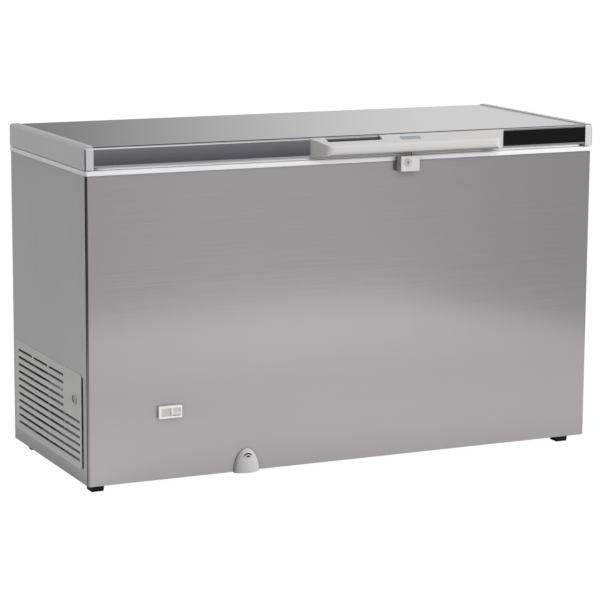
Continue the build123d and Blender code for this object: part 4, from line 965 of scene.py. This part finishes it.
def dialTree(sizes):
    tree, given = startShape("dialMarks", sizes)
    start, sweep = (mathOf(tree, "RADIANS", given[k]) for k in ("From", "Sweep"))
    arc = made(
        tree, "GeometryNodeCurveArc", {"mode": "RADIUS"}, Resolution=given["Count"], Radius=given["Radius"],
        Start_Angle=start, Sweep_Angle=sweep,
    )
    points = addNode(tree, "GeometryNodeCurveToPoints", mode="EVALUATED")
    tree.links.new(arc, points.inputs[0])
    place = made(tree, "GeometryNodeInputIndex")
    long = mathOf(tree, "ADD", given["Short"], mathOf(tree, "MULTIPLY", place, given["Growth"]))
    size = spotOf(tree, long, given["Width"], mathOf(tree, "MULTIPLY", given["Height"], 2.0))
    bar = made(tree, "GeometryNodeMeshCube", Size=(1.0, 1.0, 1.0))
    share = mathOf(tree, "DIVIDE", place, mathOf(tree, "SUBTRACT", given["Count"], 1.0))
    angle = mathOf(tree, "ADD", given["From"], mathOf(tree, "MULTIPLY", share, given["Sweep"]))
    spin = spotOf(tree, z=mathOf(tree, "RADIANS", angle))
    marks = made(
        tree, "GeometryNodeInstanceOnPoints", Points=points.outputs[0], Instance=bar, Rotation=spin,
        Scale=size,
    )
    place = spotOf(tree, given["Face X"], given["Middle Y"], given["Middle Z"])
    endShape(tree, moved(tree, marks, place, toLeftSide), "thermostat_plastic")
    return tree


marks = shapeToPiece("dialGraduations", dialTree(dialMarks), dialMarks)
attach(marks, "cabinet")
print("dial marked")


# stage: a pale floor, and a soft lamp ahead on the right
stagePlan = {
    "floorEdge": [  # outline of the floor, whose front edge the steel front mirrors
        (-2.6, -2.45), (0.13, -2.52), (0.95, -2.66), (1.30, -2.58), (1.66, -1.90), (2.1, -0.9), (4.0, 3.0),
        (30.0, 40.0), (-2.6, 40.0),
    ],
    "floorTone": 0.65,
    "nearLightTone": 0.84,  # painted light next to the cabinet
    "nearY": (-1.5, -0.5),
    "rightShare": 0.82,  # of these tones, painted darker under the lamp
    "rightX": (0.3, 1.7),
    "dullShare": 0.6,  # of these tones, for what the floor throws back on dull surfaces, so mirrors see it brighter as painted light
    "whiteShare": 0.985,  # light of the floor itself where the camera sees it
    "shadeShare": 0.05,
    "keyPlace": (2.6, -4.6, 2.3),
    "keyAim": (0.0, -0.2, 0.5),
    "keySize": (2.2, 1.4),
    "keyPower": 175.0,
}


def showTo(tree, path, others, camera, out):  # one look for the camera, one for the rest
    pick = addNode(tree, "ShaderNodeMixShader")
    tree.links.new(path.outputs["Is Camera Ray"], pick.inputs[0])
    tree.links.new(others.outputs[0], pick.inputs[1])
    tree.links.new(camera.outputs[0], pick.inputs[2])
    tree.links.new(pick.outputs[0], out.inputs[0])


def makeFloor(s):
    corners = [(x, y, 0.0) for x, y in s["floorEdge"]]
    mesh = bpy.data.meshes.new("paleFloor")
    mesh.from_pydata(corners, [], [range(len(corners))])
    floor = bpy.data.objects.new("paleFloor", mesh)
    bpy.context.scene.collection.objects.link(floor)
    material = bpy.data.materials.new("paleFloor")
    material.use_nodes = True
    tree = material.node_tree
    tree.nodes.clear()
    out = addNode(tree, "ShaderNodeOutputMaterial")
    x, y = splitOf(tree, addNode(tree, "ShaderNodeTexCoord").outputs["Object"])[:2]
    # painted light: the floor lighter next to the cabinet and darker under the lamp
    tone = rangeOf(tree, y, *s["nearY"], s["floorTone"], s["nearLightTone"], True)
    tone = mathOf(tree, "MULTIPLY", tone, rangeOf(tree, x, *s["rightX"], 1.0, s["rightShare"]))
    path = addNode(tree, "ShaderNodeLightPath")
    dull = rangeOf(tree, path.outputs["Is Glossy Ray"], 0.0, 1.0, s["dullShare"], 1.0)
    tone = mathOf(tree, "MULTIPLY", tone, dull)
    matt = feed(tree, addNode(tree, "ShaderNodeBsdfDiffuse"), Color=tone)
    glow = feed(tree, addNode(tree, "ShaderNodeEmission"), Strength=s["whiteShare"])
    faint = feed(tree, addNode(tree, "ShaderNodeBsdfDiffuse"), Color=(s["shadeShare"],) * 3 + (1.0,))
    both = addNode(tree, "ShaderNodeAddShader")
    tree.links.new(faint.outputs[0], both.inputs[0])
    tree.links.new(glow.outputs[0], both.inputs[1])
    showTo(tree, path, matt, both, out)
    mesh.materials.append(material)


# light by direction, in degrees from straight ahead of the front, growing to the right
surround = {
    "lit": {  # as dull surfaces take it
        "level": [
            (-180.0, 0.26), (-168.0, 0.26), (-150.0, 1.5), (-95.0, 1.5), (-72.0, 0.05), (-16.0, 0.06),
            (4.0, 1.02), (26.5, 1.02), (29.5, 0.25), (34.0, 0.25), (42.0, 1.1), (95.0, 1.1), (110.0, 0.80),
            (152.5, 0.80), (161.0, 0.26), (180.0, 0.26),
        ],
        "below": [(-180.0, 0.06), (-10.0, 0.06), (4.0, 0.28), (32.0, 0.40), (180.0, 0.40)],
        "high": (0.42, 0.42),  # overhead, on the left and on the right
        "backLower": 34.0,  # by which the overhead starts lower behind the lid, in degrees
    },
    "mirrored": {  # as steel mirrors it
        "level": [
            (-180.0, 0.26), (-168.0, 0.30), (-150.0, 0.62), (-95.0, 0.62), (-72.0, 0.42), (-16.0, 0.42),
            (4.0, 1.25), (26.5, 1.25), (29.5, 0.25), (34.0, 0.25), (42.0, 0.9), (95.0, 0.9), (110.0, 0.80),
            (152.5, 0.80), (161.0, 0.26), (180.0, 0.26),
        ],
        "below": [  # past the floor's front and left edges
            (-180.0, 0.32), (-10.0, 0.32), (4.0, 0.32), (18.0, 0.42), (22.0, 0.535), (26.0, 0.54),
            (32.0, 0.40), (180.0, 0.40),
        ],
        "high": (0.45, 0.05),
        "backLower": 19.0,
    },
    "highRise": (55.0, 70.0),  # degrees over which the overhead starts
    "sideSpan": (0.02, 0.26),  # of X, from left to right
    "backSpan": (-0.2, 0.2),  # of Y, from front to back
    "horizon": (-0.01, 0.01),  # of Z
}


def rampOf(tree, angle, stops):
    ramp = addNode(tree, "ShaderNodeValToRGB")
    marks = ramp.color_ramp.elements
    marks.remove(marks[1])
    for i, (degrees, level) in enumerate(stops):
        mark = marks[0] if i == 0 else marks.new(1.0)
        mark.position = degrees / 360.0 + 0.5
        mark.color = (level, level, level, 1.0)
    tree.links.new(rangeOf(tree, angle, -math.pi, math.pi, 0.0, 1.0), ramp.inputs[0])
    return ramp.outputs[0]


def makeSurround(s):
    world = bpy.data.worlds.new("surround")
    bpy.context.scene.world = world
    world.use_nodes = True
    tree = world.node_tree
    tree.nodes.clear()
    out = addNode(tree, "ShaderNodeOutputWorld")
    x, y, z = splitOf(tree, addNode(tree, "ShaderNodeTexCoord").outputs["Generated"])
    ahead = mathOf(tree, "ARCTAN2", x, mathOf(tree, "MULTIPLY", y, -1.0))
    lift = mathOf(tree, "ARCSINE", z)
    right = rangeOf(tree, x, *s["sideSpan"], 0.0, 1.0)
    behind = mathOf(tree, "MULTIPLY", rangeOf(tree, y, *s["backSpan"], 0.0, 1.0), right)
    above = rangeOf(tree, z, *s["horizon"], 0.0, 1.0)
    start, full = (math.radians(degrees) for degrees in s["highRise"])
    skies = []
    for kind in ("lit", "mirrored"):
        lower = mathOf(tree, "MULTIPLY", behind, math.radians(s[kind]["backLower"]))
        high = rangeOf(tree, mathOf(tree, "ADD", lift, lower), start, full, 0.0, 1.0, True)
        overhead = rangeOf(tree, right, 0.0, 1.0, *s[kind]["high"])
        sky = mixOf(tree, high, rampOf(tree, ahead, s[kind]["level"]), overhead)
        skies.append(mixOf(tree, above, rampOf(tree, ahead, s[kind]["below"]), sky))
    path = addNode(tree, "ShaderNodeLightPath")
    light = mixOf(tree, path.outputs["Is Glossy Ray"], *skies)
    studio = feed(tree, addNode(tree, "ShaderNodeBackground"), Color=light, Strength=1.0)
    white = feed(tree, addNode(tree, "ShaderNodeBackground"), Color=(1.0,) * 4, Strength=1.0)
    showTo(tree, path, studio, white, out)


def makeKey(s):
    data = bpy.data.lights.new("softKey", "AREA")
    data.shape = "RECTANGLE"
    data.size, data.size_y = s["keySize"]
    data.energy = s["keyPower"]
    key = bpy.data.objects.new("softKey", data)
    key.location = s["keyPlace"]
    key.rotation_mode = "QUATERNION"
    key.rotation_quaternion = (Vector(s["keyAim"]) - Vector(s["keyPlace"])).to_track_quat("-Z", "Y")
    key.visible_camera = False
    key.visible_glossy = False  # the steel mirrors the surround, not the lamp
    bpy.context.scene.collection.objects.link(key)


makeFloor(stagePlan)
makeSurround(surround)
makeKey(stagePlan)
print("stage lit")
